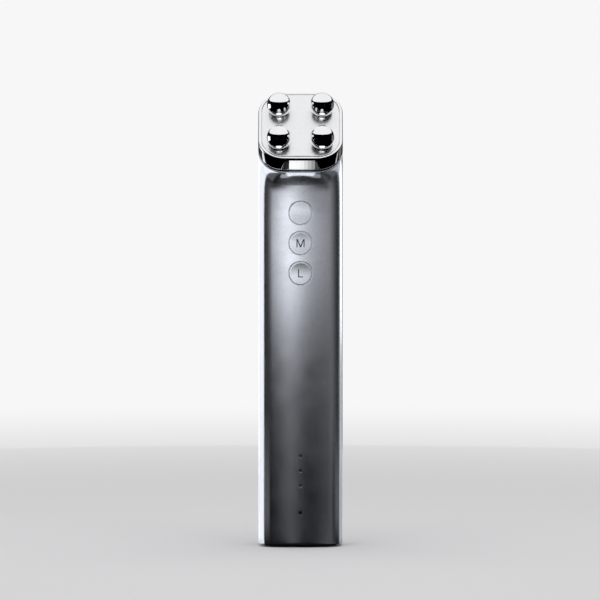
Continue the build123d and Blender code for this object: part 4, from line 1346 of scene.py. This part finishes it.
        for a, b in corners:
            place = centres[np.all((centres > 0) == (b > 0, a > 0), axis=1)][0]
            loops = [cell_loop(grid, a, a + cell, b, b + cell) for grid in (top_grid, low_grid)]
            shell.grid(self.lift(self.plate_hole(*loops, place)), closed=True)
        wardrobe.place(shell.build("domed_plate"), "pearl_plate", "body", "electrode_plate")

    def plate_hole(self, border: Array, under: Array, centre: Array) -> Array:
        """One electrode hole: rings from the cell's border in, round the edge and down.

        Args:
            border: the cell's border on the face.
            under: its border on the underside.
            centre: x and v of the hole.

        Returns:
            the rings, rings x points x 3.
        """
        share = np.linspace(0, 1, self.hole_rings)[:, None]
        ring_x, ring_v = circle_for(border, self.plate_hole_r + self.hole_round)
        x = border[:, 0] * (1 - share) + (ring_x + centre[0]) * share
        v = border[:, 1] * (1 - share) + (ring_v + centre[1]) * share
        face = stack(x, v, self.dome(x, v))
        inset, drop = round_over(self.hole_round, self.hole_steps)
        ring_x, ring_v = circle_for(border, self.plate_hole_r + inset[1:, None])
        x, v = ring_x + centre[0], ring_v + centre[1]
        bend = stack(x, v, self.dome(x, v) - drop[1:, None])
        through = stack(x[-1], v[-1], self.plate_base)[None]
        return np.concatenate([face, bend, through, under[None]])

    def lift(self, local: Array) -> Array:
        """Points (x, v, h) of the head moved into the object's frame."""
        return TUBE.head_point(local[..., 0], local[..., 1], local[..., 2])

    def build_electrodes(self, wardrobe: Wardrobe) -> None:
        """Ball electrodes: sphere, shaft and screw bore turned round the head's axis.

        Args:
            wardrobe: the finishes.
        """
        low_turn = math.pi - math.asin(self.shoulder_r / self.ball_r)
        turn = np.linspace(0, low_turn, self.ball_rows)
        ball = np.stack([self.ball_r * np.sin(turn), self.ball_h + self.ball_r * np.cos(turn)], -1)
        shaft = np.array([
            (self.shoulder_r, self.ledge_h),
            (self.bore_r, self.ledge_h),
            (self.bore_r, self.ledge_h + self.bore_depth),
            (0.0, self.ledge_h + self.bore_depth),
        ])
        x, v, h = lathe(np.concatenate([ball, shaft]), self.turns)
        for name, (across, up) in self.places.items():
            shell = Shell()
            shell.grid(TUBE.head_point(x + across, v + up, h), closed=True)
            piece = shell.build(f"ball_{name}")
            wardrobe.place(piece, "polished_chrome", "body", f"electrode_{name}")

    def build_collars(self, wardrobe: Wardrobe) -> None:
        """Four insulating collars with rounded top edges, turned round the head's axis.

        Args:
            wardrobe: the finishes.
        """
        inset, drop = round_over(self.collar_round, self.collar_steps)
        top = self.plate_edge - self.collar_sink
        profile = np.concatenate([
            np.stack([self.collar_bore + inset[::-1], top - drop[::-1]], -1),
            np.stack([self.collar_r - inset, top - drop], -1),
            [(self.collar_r, self.plate_base), (self.collar_flange, self.plate_base),
             (self.collar_flange, self.ledge_h), (self.collar_bore, self.ledge_h),
             (self.collar_bore, top - drop[-1])],
        ])
        x, v, h = lathe(profile, self.turns)
        shell = Shell()
        for across, up in self.places.values():
            shell.grid(TUBE.head_point(x + across, v + up, h), closed=True)
        wardrobe.place(shell.build("collar_rings"), "insulator", "body", "electrode_collars")

    def build(self, wardrobe: Wardrobe) -> None:
        """Make every piece of the head.

        Args:
            wardrobe: the finishes.
        """
        self.build_seal(wardrobe)
        self.build_bezel(wardrobe)
        self.build_plate(wardrobe)
        self.build_electrodes(wardrobe)
        self.build_collars(wardrobe)


# ---------------------------------------------------------------- buttons
def mirrored(chain: list[tuple[float, float]]) -> list[tuple[float, float]]:
    """The other half of a letter: each point at -x, in turned order."""
    return [(-x, z) for x, z in reversed(chain)]


class Mark(enum.Enum):
    """Function mark printed on a button."""

    NONE = "none"
    MODE = "mode"
    LEVEL = "level"


@dataclass(frozen=True)
class Legend:
    """A thin printed letter, given by two chains of points that bound its stroke."""

    height: float = 3.1
    width: float = 3.05
    foot_width: float = 1.85
    stroke: float = 0.38
    thickness: float = 0.012
    sink: float = 0.05
    top_share: float = 1.25          # a diagonal's width along the cap line, in strokes
    tip_share: float = 0.62          # half the diagonals' meeting, along the base line
    fall_share: float = 1.9          # where stem and diagonal part, below the cap line
    dip_share: float = 1.75          # notch above the base line
    per_span: int = 10
    strips: int = 3                  # across the stroke

    def chains(self, mark: Mark) -> tuple[Array, Array]:
        """Outer and inner chain of the stroke, equally many (x, z) points each.

        Args:
            mark: which letter.

        Returns:
            the outer chain and the inner chain.
        """
        h, t = self.height / 2, self.stroke
        if mark is Mark.LEVEL:
            w = self.foot_width / 2
            return (
                np.array([(-w, h), (-w, -h), (w, -h)]),
                np.array([(-w + t, h), (-w + t, -h + t), (w, -h + t)]),
            )
        w = self.width / 2
        shares = (self.top_share, self.tip_share, self.fall_share, self.dip_share)
        top, tip, fall, dip = (share * t for share in shares)
        left = [(-w, -h), (-w, h), (-w + top, h), (0.0, -h + dip)]
        under = [(-w + t, -h), (-w + t, h - fall), (-w + t, h - fall), (-tip, -h)]
        return np.array(left + mirrored(left)), np.array(under + mirrored(under))

    def build(self, name: str, mark: Mark, cap: "Cap", height: float) -> bpy.types.Object:
        """Drape the letter over the cap's dish as a closed film.

        Each span between chain points is cut into equal parts, lengthwise and across; the
        film's face lies a thickness above the dish and its underside is sunk below it.

        Args:
            name: name of the piece.
            mark: which letter.
            cap: the cap that it lies on.
            height: the cap's height.

        Returns:
            the film.
        """
        outer, inner = self.chains(mark)
        spans = len(outer) - 1
        place = np.linspace(0, spans, spans * self.per_span + 1)
        index = np.arange(spans + 1)
        bounds = [
            np.stack([np.interp(place, index, chain[:, k]) for k in (0, 1)], -1)
            for chain in (outer, inner)
        ]
        across = np.linspace(0, 1, self.strips + 1)[None, :, None]
        flat = bounds[0][:, None] * (1 - across) + bounds[1][:, None] * across
        x, z = flat[..., 0], flat[..., 1]
        face = cap.face(x, np.hypot(x, z))
        top = stack(x, face - self.thickness, z + height)
        low = stack(x, face + self.sink, z + height)
        shell = Shell()
        shell.grid(top)
        shell.grid(low)
        for edge in (np.s_[:, 0], np.s_[:, -1], np.s_[0], np.s_[-1]):
            shell.grid(np.stack([top[edge], low[edge]]))
        return shell.build(name)


@dataclass(frozen=True)
class Cap:
    """A dished button cap with its flange and stem."""

    radius: float = 4.3
    edge: float = 0.12
    land: float = 0.3
    dish: float = 0.10
    flange_r: float = 5.0
    flange_front: float = -9.65
    flange_back: float = -8.85
    stem_r: float = 1.5
    stem_end: float = -4.6
    dish_rows: int = 18
    edge_steps: int = 5
    turns: int = 96

    def face(self, x: Array, rho: Array) -> Array:
        """Cap's face: the housing's bulge plus a dish of parabola 1 - (rho / dish radius)^2.

        The dish ends at its radius, inside a narrow land at the cap's edge.

        Args:
            x: place across.
            rho: distance from the cap's axis.

        Returns:
            y of the face.
        """
        dish_r = self.radius - self.edge - self.land
        hollow = self.dish * np.maximum(1 - (rho / dish_r) ** 2, 0)
        return TUBE.face_y(x) + hollow

    def build(self, name: str, height: float) -> bpy.types.Object:
        """Turn the cap round its axis: dish, land, rounded edge, side, flange and stem.

        Args:
            name: name of the piece.
            height: the cap's height.

        Returns:
            the cap.
        """
        angle = steps(0, 2 * math.pi, self.turns)
        inset, drop = round_over(self.edge, self.edge_steps)
        rim = self.radius - self.edge
        dish_r = rim - self.land
        hollow = np.linspace(0, dish_r, self.dish_rows)
        rho = np.concatenate([hollow, [dish_r + self.land / 2, rim]])[:, None]
        x, z = rho * np.cos(angle), rho * np.sin(angle)
        top = stack(x, self.face(x, rho), z + height)
        rho = self.radius - inset[1:, None]
        x, z = rho * np.cos(angle), rho * np.sin(angle)
        bend = stack(x, TUBE.face_y(x) + drop[1:, None], z + height)
        lower = np.array([
            (self.radius, self.flange_front), (self.flange_r, self.flange_front),
            (self.flange_r, self.flange_back), (self.stem_r, self.flange_back),
            (self.stem_r, self.stem_end), (0.0, self.stem_end),
        ])
        x, z, y = lathe(lower, self.turns)
        shell = Shell()
        shell.grid(np.concatenate([top, bend, stack(x, y, z + height)]), closed=True)
        return shell.build(name)


@dataclass(frozen=True)
class Buttons:
    """The three push buttons on the front and the marks on two of them."""

    cap: Cap = Cap()
    legend: Legend = Legend()
    places: tuple[tuple[str, float, Mark], ...] = (
        ("power", 126.8, Mark.NONE),
        ("mode", 115.4, Mark.MODE),
        ("level", 104.0, Mark.LEVEL),
    )

    def build(self, wardrobe: Wardrobe) -> None:
        """Make each cap and its mark; both ride on the body that the button presses.

        Args:
            wardrobe: the finishes.
        """
        for name, height, mark in self.places:
            body = f"{name}_press"
            piece = self.cap.build(f"{name}_cap", height)
            wardrobe.place(piece, "cap_aluminium", body, f"{name}_button")
            if mark is not Mark.NONE:
                film = self.legend.build(f"{name}_mark", mark, self.cap, height)
                wardrobe.dress(film, "legend_ink")
                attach(film, body)


# ---------------------------------------------------------------- lamp windows and foot
@dataclass(frozen=True)
class LampWindows:
    """Small domed lenses over the light guide's four pins."""

    heights: tuple[float, ...] = (13.1, 23.5, 29.1, 34.7)
    radii: tuple[float, ...] = (0.73, 0.505, 0.505, 0.505)
    pin_end: float = -11.94
    crown: float = 0.012
    edge: float = 0.01
    sink: float = 0.02
    rows: int = 10
    turns: int = 48

    def build(self, wardrobe: Wardrobe) -> None:
        """Each lens is a cap of height crown (1 - (rho / r)^2) on a short cylinder.

        Args:
            wardrobe: the finishes.
        """
        shell = Shell()
        for height, radius in zip(self.heights, self.radii):
            rho = np.linspace(0, radius, self.rows)
            front = self.pin_end - self.edge - self.crown * (1 - (rho / radius) ** 2)
            back = self.pin_end + self.sink
            profile = np.concatenate([np.stack([rho, front], -1), [(radius, back), (0.0, back)]])
            x, z, y = lathe(profile, self.turns)
            shell.grid(stack(x, y, z + height), closed=True)
        wardrobe.place(shell.build("lamp_windows"), "smoked_lens", "body")


@dataclass(frozen=True)
class Foot:
    """Rubber foot with the opening for the charging socket."""

    inset: float = 0.7
    top: float = 1.2
    edge: float = 0.3
    slot_width: float = 10.54
    slot_height: float = 4.86
    slot_y: float = -1.9
    slot_edge: float = 0.2
    front_columns: int = 33
    corner_steps: int = 12
    side_steps: int = 10
    edge_steps: int = 4
    slot_steps: int = 3
    under_rings: int = 4

    def slot(self, angle: Array, grow: Array) -> tuple[Array, Array]:
        """Points of the slot in the directions of angle from its middle.

        A ray meets the straight at r / sin a where that lies within it, and otherwise the
        end's circle at s |cos a| + sqrt(r^2 - s^2 sin^2 a).

        Args:
            angle: the directions.
            grow: how far the slot is widened.

        Returns:
            x and y of the points.
        """
        r = self.slot_height / 2 + grow
        s = (self.slot_width - self.slot_height) / 2
        sine, cosine = np.abs(np.sin(angle)), np.abs(np.cos(angle))
        straight = r * cosine <= s * sine
        end = s * cosine + np.sqrt(np.maximum(r ** 2 - (s * sine) ** 2, 0))
        reach = np.where(straight, r / np.maximum(sine, WELD), end)
        return reach * np.cos(angle), self.slot_y + reach * np.sin(angle)

    def build(self, wardrobe: Wardrobe) -> None:
        """Rings from the top, down the side, under the foot and up the slot, closed.

        Args:
            wardrobe: the finishes.
        """
        across = np.linspace(-1, 1, self.front_columns)
        outline = Outline(across, self.corner_steps, self.side_steps)
        inset, drop = round_over(self.edge, self.edge_steps)
        grow = self.inset + np.append(0.0, inset[::-1])[:, None]
        z = np.append(self.top, drop[::-1])[:, None]
        x, y = outline.ring(
            TUBE.width - 2 * TUBE.side_wall - 2 * grow, TUBE.inner_front_y + grow,
            TUBE.inner_back_y - grow, TUBE.inner_corner_r - grow, TUBE.flat_r,
            TUBE.bulge_r - TUBE.side_wall - grow,
        )
        side = stack(x, y, z)
        angle = np.arctan2(side[-1, :, 1] - self.slot_y, side[-1, :, 0])
        slot_in, slot_up = round_over(self.slot_edge, self.slot_steps)
        mouth_x, mouth_y = self.slot(angle, slot_in[0])
        share = np.linspace(0, 1, self.under_rings + 1)[1:, None]
        under = stack(
            side[-1, :, 0] * (1 - share) + mouth_x * share,
            side[-1, :, 1] * (1 - share) + mouth_y * share, 0.0,
        )
        bore_x, bore_y = self.slot(angle, np.append(slot_in[1:], 0.0)[:, None])
        bore = stack(bore_x, bore_y, np.append(slot_up[1:], self.top)[:, None])
        shell = Shell()
        shell.grid(np.concatenate([side, under, bore, side[:1]]), closed=True)
        wardrobe.place(shell.build("rubber_foot"), "foot_rubber", "body", "foot_pad")


# ---------------------------------------------------------------- pieces kept from the frame
@dataclass(frozen=True)
class Inside:
    """The pieces inside, which keep their CAD shape and get their finish."""

    def build(self, wardrobe: Wardrobe, frame: dict) -> None:
        """Dress every CAD node with the finish of its record slot.

        Args:
            wardrobe: the finishes.
            frame: the loaded frame.
        """
        for row in frame["record"]["subparts"]:
            node = frame["nodes"][row["node"]]
            wardrobe.dress(node, row["material_slot"])
        log.info("dressed %d frame nodes", len(frame["nodes"]))


# ---------------------------------------------------------------- studio
def azimuth_of(points: Array) -> Array:
    """Degrees from the front, positive to the right seen from the front."""
    return np.degrees(np.arctan2(points[:, 0], -points[:, 1]))


def growth(value: Array, start: float, full: float) -> Array:
    """Straight from 0 at start to 1 at full: clip((value - start) / (full - start))."""
    return np.clip((value - start) / (full - start), 0, 1)


@dataclass(frozen=True)
class Spot:
    """A soft spot of light on a card: exp(-(turn / wide)^2 - (rise / tall)^2) times glow.

    azimuth and wide are in degrees, height and tall in metres.
    """

    azimuth: float
    height: float
    wide: float
    tall: float
    glow: float

    def shine(self, azimuth: Array, height: Array) -> Array:
        """How bright the spot is at points of the card.

        Args:
            azimuth: of the points, in degrees.
            height: of the points, in metres.

        Returns:
            the brightness.
        """
        turn, rise = (azimuth - self.azimuth) / self.wide, (height - self.height) / self.tall
        return self.glow * np.exp(-turn ** 2 - rise ** 2)


SATIN = ("housing_tube", "power_cap", "mode_cap", "level_cap")


@dataclass(frozen=True)
class Card:
    """A studio card: part of an upright cylinder wall round the object, seen by gloss only.

    Angles are degrees from the front, positive to the right seen from the front; the other
    sizes are metres. lights names the pieces that it shines for, and it is black for the
    rest; without names it shines for all.
    """

    name: str
    left: float
    right: float
    low: float
    high: float
    glow: float
    radius: float = 0.52
    spots: tuple[Spot, ...] = ()
    lights: tuple[str, ...] = ()

    def shine(self, points: Array) -> Array:
        """How bright the card is at its points, given in metres.

        Args:
            points: in metres, one a row.

        Returns:
            the brightness, where 1 is white.
        """
        azimuth = azimuth_of(points)
        return self.glow + sum(spot.shine(azimuth, points[:, 2]) for spot in self.spots)


@dataclass(frozen=True)
class Flank:
    """Light at the side of a floor light, which grows with the angle and the distance.

    It grows from none to glow between the angles start and full, in degrees, and between
    the distances near and far from the object, in metres.
    """

    start: float
    full: float
    near: float
    far: float
    glow: float

    def shine(self, azimuth: Array, reach: Array) -> Array:
        """How bright the flank is at points of the floor.

        Args:
            azimuth: of the points, in degrees.
            reach: their distance from the object, in metres.

        Returns:
            the brightness.
        """
        share = growth(azimuth, self.start, self.full)
        return self.glow * share * growth(reach, self.near, self.far)


@dataclass(frozen=True)
class FloorLight:
    """A light that lies flat on the floor: part of a ring, seen by gloss only.

    left and right are angles as on a card; near, far, height and the ring's centre are in
    millimetres. glow, spots and flanks add up. fade gives the distances from the object, in
    metres, between which all of it grows from none to full. lights is as on a card.
    """

    name: str
    left: float
    right: float
    near: float
    far: float
    height: float
    glow: float
    centre: tuple[float, float] = (0.0, 0.0)
    fade: tuple[float, float] = (-1.0, 0.0)
    spots: tuple[Spot, ...] = ()
    flanks: tuple[Flank, ...] = ()
    lights: tuple[str, ...] = ()

    def rows(self, around: int, out: int) -> Array:
        """The ring's points: centre + r (sin a, -cos a).

        Args:
            around: points along an arc.
            out: number of arcs.

        Returns:
            the points as a grid, in millimetres.
        """
        angle = np.radians(np.linspace(self.left, self.right, around))
        reach = np.linspace(self.near, self.far, out)[:, None]
        x, y = self.centre
        return stack(x + reach * np.sin(angle), y - reach * np.cos(angle), self.height)

    def shine(self, points: Array) -> Array:
        """How bright the light is at its points.

        Args:
            points: in metres, one a row.

        Returns:
            the brightness, where 1 is white.
        """
        azimuth, reach = azimuth_of(points), np.hypot(points[:, 0], points[:, 1])
        glow = self.glow + sum(spot.shine(azimuth, points[:, 2]) for spot in self.spots)
        glow += sum(flank.shine(azimuth, reach) for flank in self.flanks)
        return glow * growth(reach, *self.fade)


@dataclass(frozen=True)
class Lamp:
    """A softbox.

    place and aim are in metres, size is its width and height in metres, and radiance is how
    bright its face is, where 1 is white. mirrored lamps show in gloss. lights names the
    pieces that it lights, or none for all.
    """

    name: str
    place: tuple[float, float, float]
    aim: tuple[float, float, float]
    size: tuple[float, float]
    radiance: float
    shape: str = "RECTANGLE"
    mirrored: bool = True
    lights: tuple[str, ...] = ()


BEZEL_LIGHTS = (            # metres: place across and width; and radiance
    (-0.0022, 0.0044, 1.0),
    (0.0007, 0.0014, 0.92),
    (0.0021, 0.0014, 0.72),
    (0.0035, 0.0014, 0.5),
    (0.0049, 0.0014, 0.3),
)


@dataclass
class Studio:
    """Pale floor and surroundings, lamps, cards and the camera. None is of the object.

    Sizes are metres. pale is how bright the surroundings look and ambient how much they
    light; the floor turns into them between the distances of floor_fade.
    """

    pale: float = 0.93
    ambient: float = 0.42
    floor_colour: tuple[float, float, float] = (0.80, 0.80, 0.81)
    floor_roughness: float = 0.6
    floor_gloss: float = 0.2
    floor_size: float = 12.0
    floor_drop: float = 2e-5
    floor_fade: tuple[float, float] = (0.18, 0.9)
    card_grid: tuple[int, int] = (97, 33)
    floor_grid: tuple[int, int] = (65, 17)
    cards: tuple[Card, ...] = (
        Card("front_card", -88, 100, -0.01, 0.40, 0.03, 0.50, (
            Spot(-14, 0.101, 18, 0.027, 1.20), Spot(0, 0.101, 36, 0.027, 0.66),
            Spot(-8, 0.175, 40, 0.042, 0.95), Spot(-12, 0.0, 12, 1.0, 0.11),
            Spot(48, 0.0, 26, 1.0, 0.12)), SATIN),
        Card("left_strip", -128, -88, -0.01, 0.215, 1.4),
        Card("left_flag", -128, -88, 0.215, 0.40, 0.008),
        Card("right_strip", 100, 150, -0.01, 0.25, 0.15),
        Card("right_flag", 100, 150, 0.25, 0.40, 0.02),
        Card("back_flag", 150, 232, -0.01, 0.40, 0.03),
    )
    floor_lights: tuple[FloorLight, ...] = (
        FloorLight("floor_flag", 0, 360, 5, 530, 0.4, 0.006),
        FloorLight("floor_front", -92, 104, 17, 515, 0.6, 0.012, lights=SATIN, spots=(
            Spot(-12, 0.0, 11, 1.0, 0.080), Spot(42, 0.0, 17, 1.0, 0.085),
        ), flanks=(Flank(-43, -51, 0.03, 0.12, 0.13), Flank(62, 78, 0.03, 0.12, 0.13))),
        FloorLight("floor_left", -178, -90, 5.2, 500, 0.7, 1.4, (-10, -9), (0.006, 0.02),
                   lights=SATIN),
        FloorLight("floor_right", 109, 178, 5.2, 500, 0.7, 0.6, (10, -9), (0.006, 0.02),
                   lights=SATIN),
        FloorLight("floor_left_line", -139, -130, 150, 515, 0.8, 0.9),
        FloorLight("floor_right_line", 129, 133, 150, 515, 0.8, 0.5),
    )
    lamps: tuple[Lamp, ...] = (
        Lamp("overhead", (0, -0.10, 0.95), (0, 0, 0.1), (1.0, 1.0), 2.0, mirrored=False),
        Lamp("left_rim", (-0.225, 0.39, 0.12), (0, 0, 0.1), (0.35, 0.30), 1.4, lights=SATIN),
        Lamp("right_rim", (0.334, 0.301, 0.18), (0, 0, 0.1), (0.30, 0.25), 1.0, lights=SATIN),
        Lamp("right_low_rim", (0.334, 0.301, 0.05), (0, 0, 0.1), (0.30, 0.25), 0.5, lights=SATIN),
        Lamp("neck_light", (0, -0.0172, 0.1309), (0, -0.0206, 0.1403), (0.0116, 0.0091), 1.25,
             lights=SATIN),
        Lamp("neck_left_light", (-0.0078, -0.0208, 0.1297), (-0.0078, -0.0242, 0.1391),
             (0.0062, 0.0128), 0.42, "ELLIPSE", lights=SATIN),
        Lamp("neck_right_light", (0.0078, -0.0208, 0.1297), (0.0078, -0.0242, 0.1391),
             (0.0062, 0.0128), 0.34, "ELLIPSE", lights=SATIN),
        *(
            Lamp(f"bezel_light_{step}", (x, -0.0176, 0.1382), (x, -0.0186, 0.1482),
                 (width, 0.0058), radiance, lights=("chrome_bezel",))
            for step, (x, width, radiance) in enumerate(BEZEL_LIGHTS)
        ),
    )
    catch_tip: float = math.radians(50.6)
    catch_gap: float = 0.0025
    catch_size: tuple[float, float] = (0.0040, 0.0024)
    catch_radiance: float = 1.3
    lens: float = 236.0              # millimetres, as is the sensor's width
    sensor: float = 36.0
    aim: tuple[float, float, float] = (-0.0002, 0.0, 0.0935)
    distance: float = 1.5
    lift: float = math.radians(2.0)

    def __post_init__(self) -> None:
        """Make the one material that all cards share."""
        self.card_light = bpy.data.materials.new("card_light")
        self.card_light.use_nodes = True
        tree = self.card_light.node_tree
        tree.nodes.clear()
        level = tree.nodes.new("ShaderNodeAttribute")
        level.attribute_name = "glow"
        light = tree.nodes.new("ShaderNodeEmission")
        end = tree.nodes.new("ShaderNodeOutputMaterial")
        tree.links.new(level.outputs["Fac"], light.inputs["Strength"])
        tree.links.new(light.outputs[0], end.inputs["Surface"])

    def limit(self, light: bpy.types.Object, names: tuple[str, ...]) -> None:
        """Let a lamp or card light the named pieces alone, or all where there are no names.

        Args:
            light: the lamp or card.
            names: the pieces, or none for all.
        """
        if names:
            group = bpy.data.collections.new(f"{light.name}_lights")
            for name in names:
                group.objects.link(bpy.data.objects[name])
            light.light_linking.receiver_collection = group

    def stage_patch(
        self, name: str, rows: Array, shine: Callable[[Array], Array], lights: tuple[str, ...] = ()
    ) -> None:
        """A stage patch that only glossy rays see, in plain light.

        Args:
            name: the patch's name.
            rows: its points as a grid, in millimetres.
            shine: gives the brightness at points in metres, where 1 is white.
            lights: the pieces that it shines for, or none for all.
        """
        shell = Shell()
        shell.grid(rows)
        patch = shell.build(name)
        points = np.empty(3 * len(patch.data.vertices))
        patch.data.vertices.foreach_get("co", points)
        glow = patch.data.attributes.new("glow", "FLOAT", "POINT")
        glow.data.foreach_set("value", shine(points.reshape(-1, 3)) + np.zeros(len(points) // 3))
        patch.data.materials.append(self.card_light)
        patch.visible_camera = False
        patch.visible_diffuse = False
        patch.visible_shadow = False
        patch.visible_transmission = False
        self.limit(patch, lights)
        patch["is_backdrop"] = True

    def build_card(self, card: Card) -> None:
        """Bend a card round the object: r (sin a, -cos a) at every height.

        Args:
            card: the card.
        """
        around, up = self.card_grid
        angle = np.radians(np.linspace(card.left, card.right, around))
        reach = card.radius / MM
        heights = np.linspace(card.low, card.high, up)[:, None] / MM
        wall = stack(reach * np.sin(angle), -reach * np.cos(angle), heights)
        self.stage_patch(card.name, wall, card.shine, card.lights)

    def build_floor(self) -> None:
        """Wide pale floor that turns into the pale surroundings away from the object."""
        half = self.floor_size / 2 / MM
        x, y = np.meshgrid(np.array([-half, half]), np.array([-half, half]))
        shell = Shell()
        shell.grid(stack(x, y, -self.floor_drop / MM))
        floor = shell.build("studio_floor")
        material = bpy.data.materials.new("studio_floor")
        material.use_nodes = True
        tree = material.node_tree
        shader = tree.nodes["Principled BSDF"]
        shader.inputs["Base Color"].default_value = (*self.floor_colour, 1)
        shader.inputs["Roughness"].default_value = self.floor_roughness
        shader.inputs["Specular IOR Level"].default_value = self.floor_gloss
        far = tree.nodes.new("ShaderNodeEmission")
        far.inputs["Strength"].default_value = self.pale
        place = tree.nodes.new("ShaderNodeTexCoord")
        reach = tree.nodes.new("ShaderNodeVectorMath")
        reach.operation = "LENGTH"
        tree.links.new(place.outputs["Object"], reach.inputs[0])
        share = tree.nodes.new("ShaderNodeMapRange")
        share.interpolation_type = "SMOOTHSTEP"
        share.inputs["From Min"].default_value = self.floor_fade[0]
        share.inputs["From Max"].default_value = self.floor_fade[1]
        tree.links.new(reach.outputs["Value"], share.inputs["Value"])
        mix = tree.nodes.new("ShaderNodeMixShader")
        tree.links.new(share.outputs["Result"], mix.inputs["Fac"])
        tree.links.new(shader.outputs[0], mix.inputs[1])
        tree.links.new(far.outputs[0], mix.inputs[2])
        tree.links.new(mix.outputs[0], tree.nodes["Material Output"].inputs["Surface"])
        floor.data.materials.append(material)
        floor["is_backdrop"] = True

    def build_world(self) -> None:
        """Pale surroundings for camera, glossy and transmission rays, a softer fill for others."""
        world = bpy.data.worlds.new("studio")
        bpy.context.scene.world = world
        world.use_nodes = True
        world.cycles.sampling_method = "NONE"
        tree = world.node_tree
        back = tree.nodes["Background"]
        path = tree.nodes.new("ShaderNodeLightPath")
        seen = path.outputs["Is Camera Ray"]
        for name in ("Is Glossy Ray", "Is Transmission Ray"):
            either = tree.nodes.new("ShaderNodeMath")
            either.operation = "MAXIMUM"
            tree.links.new(seen, either.inputs[0])
            tree.links.new(path.outputs[name], either.inputs[1])
            seen = either.outputs[0]
        level = tree.nodes.new("ShaderNodeMapRange")
        level.inputs["To Min"].default_value = self.ambient
        level.inputs["To Max"].default_value = self.pale
        tree.links.new(seen, level.inputs["Value"])
        tree.links.new(level.outputs["Result"], back.inputs["Strength"])
        back.inputs["Color"].default_value = (1, 1, 1, 1)

    def build_lamp(self, spec: Lamp) -> None:
        """Hang a softbox: its power is radiance x pi x the area of its face.

        Args:
            spec: the softbox.
        """
        lamp = bpy.data.lights.new(spec.name, "AREA")
        lamp.shape = spec.shape
        lamp.size, lamp.size_y = spec.size
        fill = math.pi / 4 if spec.shape == "ELLIPSE" else 1.0
        lamp.energy = spec.radiance * math.pi * fill * spec.size[0] * spec.size[1]
        holder = bpy.data.objects.new(spec.name, lamp)
        bpy.context.scene.collection.objects.link(holder)
        way = Vector(spec.aim) - Vector(spec.place)
        holder.location = spec.place
        holder.rotation_euler = way.to_track_quat("-Z", "Y").to_euler()
        holder.visible_camera = False
        holder.visible_glossy = spec.mirrored
        self.limit(holder, spec.lights)

    def build_catch_lights(self, head: Head) -> None:
        """A small oval light by the foot of each ball, which that ball alone shows.

        It faces the point of the ball whose normal falls by tip, from a little further along
        the mirrored line of sight.

        Args:
            head: gives the balls' places.
        """
        tip = self.catch_tip
        for name, (across, up) in head.places.items():
            centre = TUBE.head_point(across, up, head.ball_h)
            on_ball = centre + head.ball_r * np.array([0, -math.cos(tip), -math.sin(tip)])
            way = np.array([0, -math.cos(2 * tip), -math.sin(2 * tip)])
            place = on_ball * MM + self.catch_gap * way
            self.build_lamp(Lamp(
                f"catch_{name}", tuple(place), tuple(on_ball * MM), self.catch_size,
                self.catch_radiance, "ELLIPSE", lights=(f"ball_{name}",)))

    def build_camera(self) -> None:
        """A long lens in front of the object, a little above it."""
        eye = bpy.data.cameras.new("camera")
        eye.lens, eye.sensor_width = self.lens, self.sensor
        holder = bpy.data.objects.new("camera", eye)
        bpy.context.scene.collection.objects.link(holder)
        back = Vector((0, -math.cos(self.lift), math.sin(self.lift)))
        holder.location = Vector(self.aim) + back * self.distance
        holder.rotation_euler = (-back).to_track_quat("-Z", "Y").to_euler()
        bpy.context.scene.camera = holder

    def build(self, head: Head) -> None:
        """Set the whole stage round the object.

        Args:
            head: gives the places of the balls' catch lights.
        """
        bpy.context.scene.view_settings.view_transform = "Standard"
        self.build_floor()
        self.build_world()
        for card in self.cards:
            self.build_card(card)
        for light in self.floor_lights:
            self.stage_patch(light.name, light.rows(*self.floor_grid), light.shine, light.lights)
        for lamp in self.lamps:
            self.build_lamp(lamp)
        self.build_catch_lights(head)
        self.build_camera()


def corners(box: tuple) -> list[list[float]]:
    """A box's two corners as plain lists."""
    return [list(map(float, corner)) for corner in box]


def main() -> None:
    """Load the frame, build every sub-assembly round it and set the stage."""
    logging.basicConfig(level=logging.INFO, format="%(name)s: %(message)s")
    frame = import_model()
    cad_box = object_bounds()
    wardrobe = Wardrobe.make()
    Inside().build(wardrobe, frame)
    Housing().build(wardrobe)
    head = Head()
    head.build(wardrobe)
    Buttons().build(wardrobe)
    LampWindows().build(wardrobe)
    Foot().build(wardrobe)
    Studio().build(head)
    sizes = {"cad": corners(cad_box), "visual": corners(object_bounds())}
    log.info("boxes: %s", sizes)


if __name__ == "__main__":
    main()
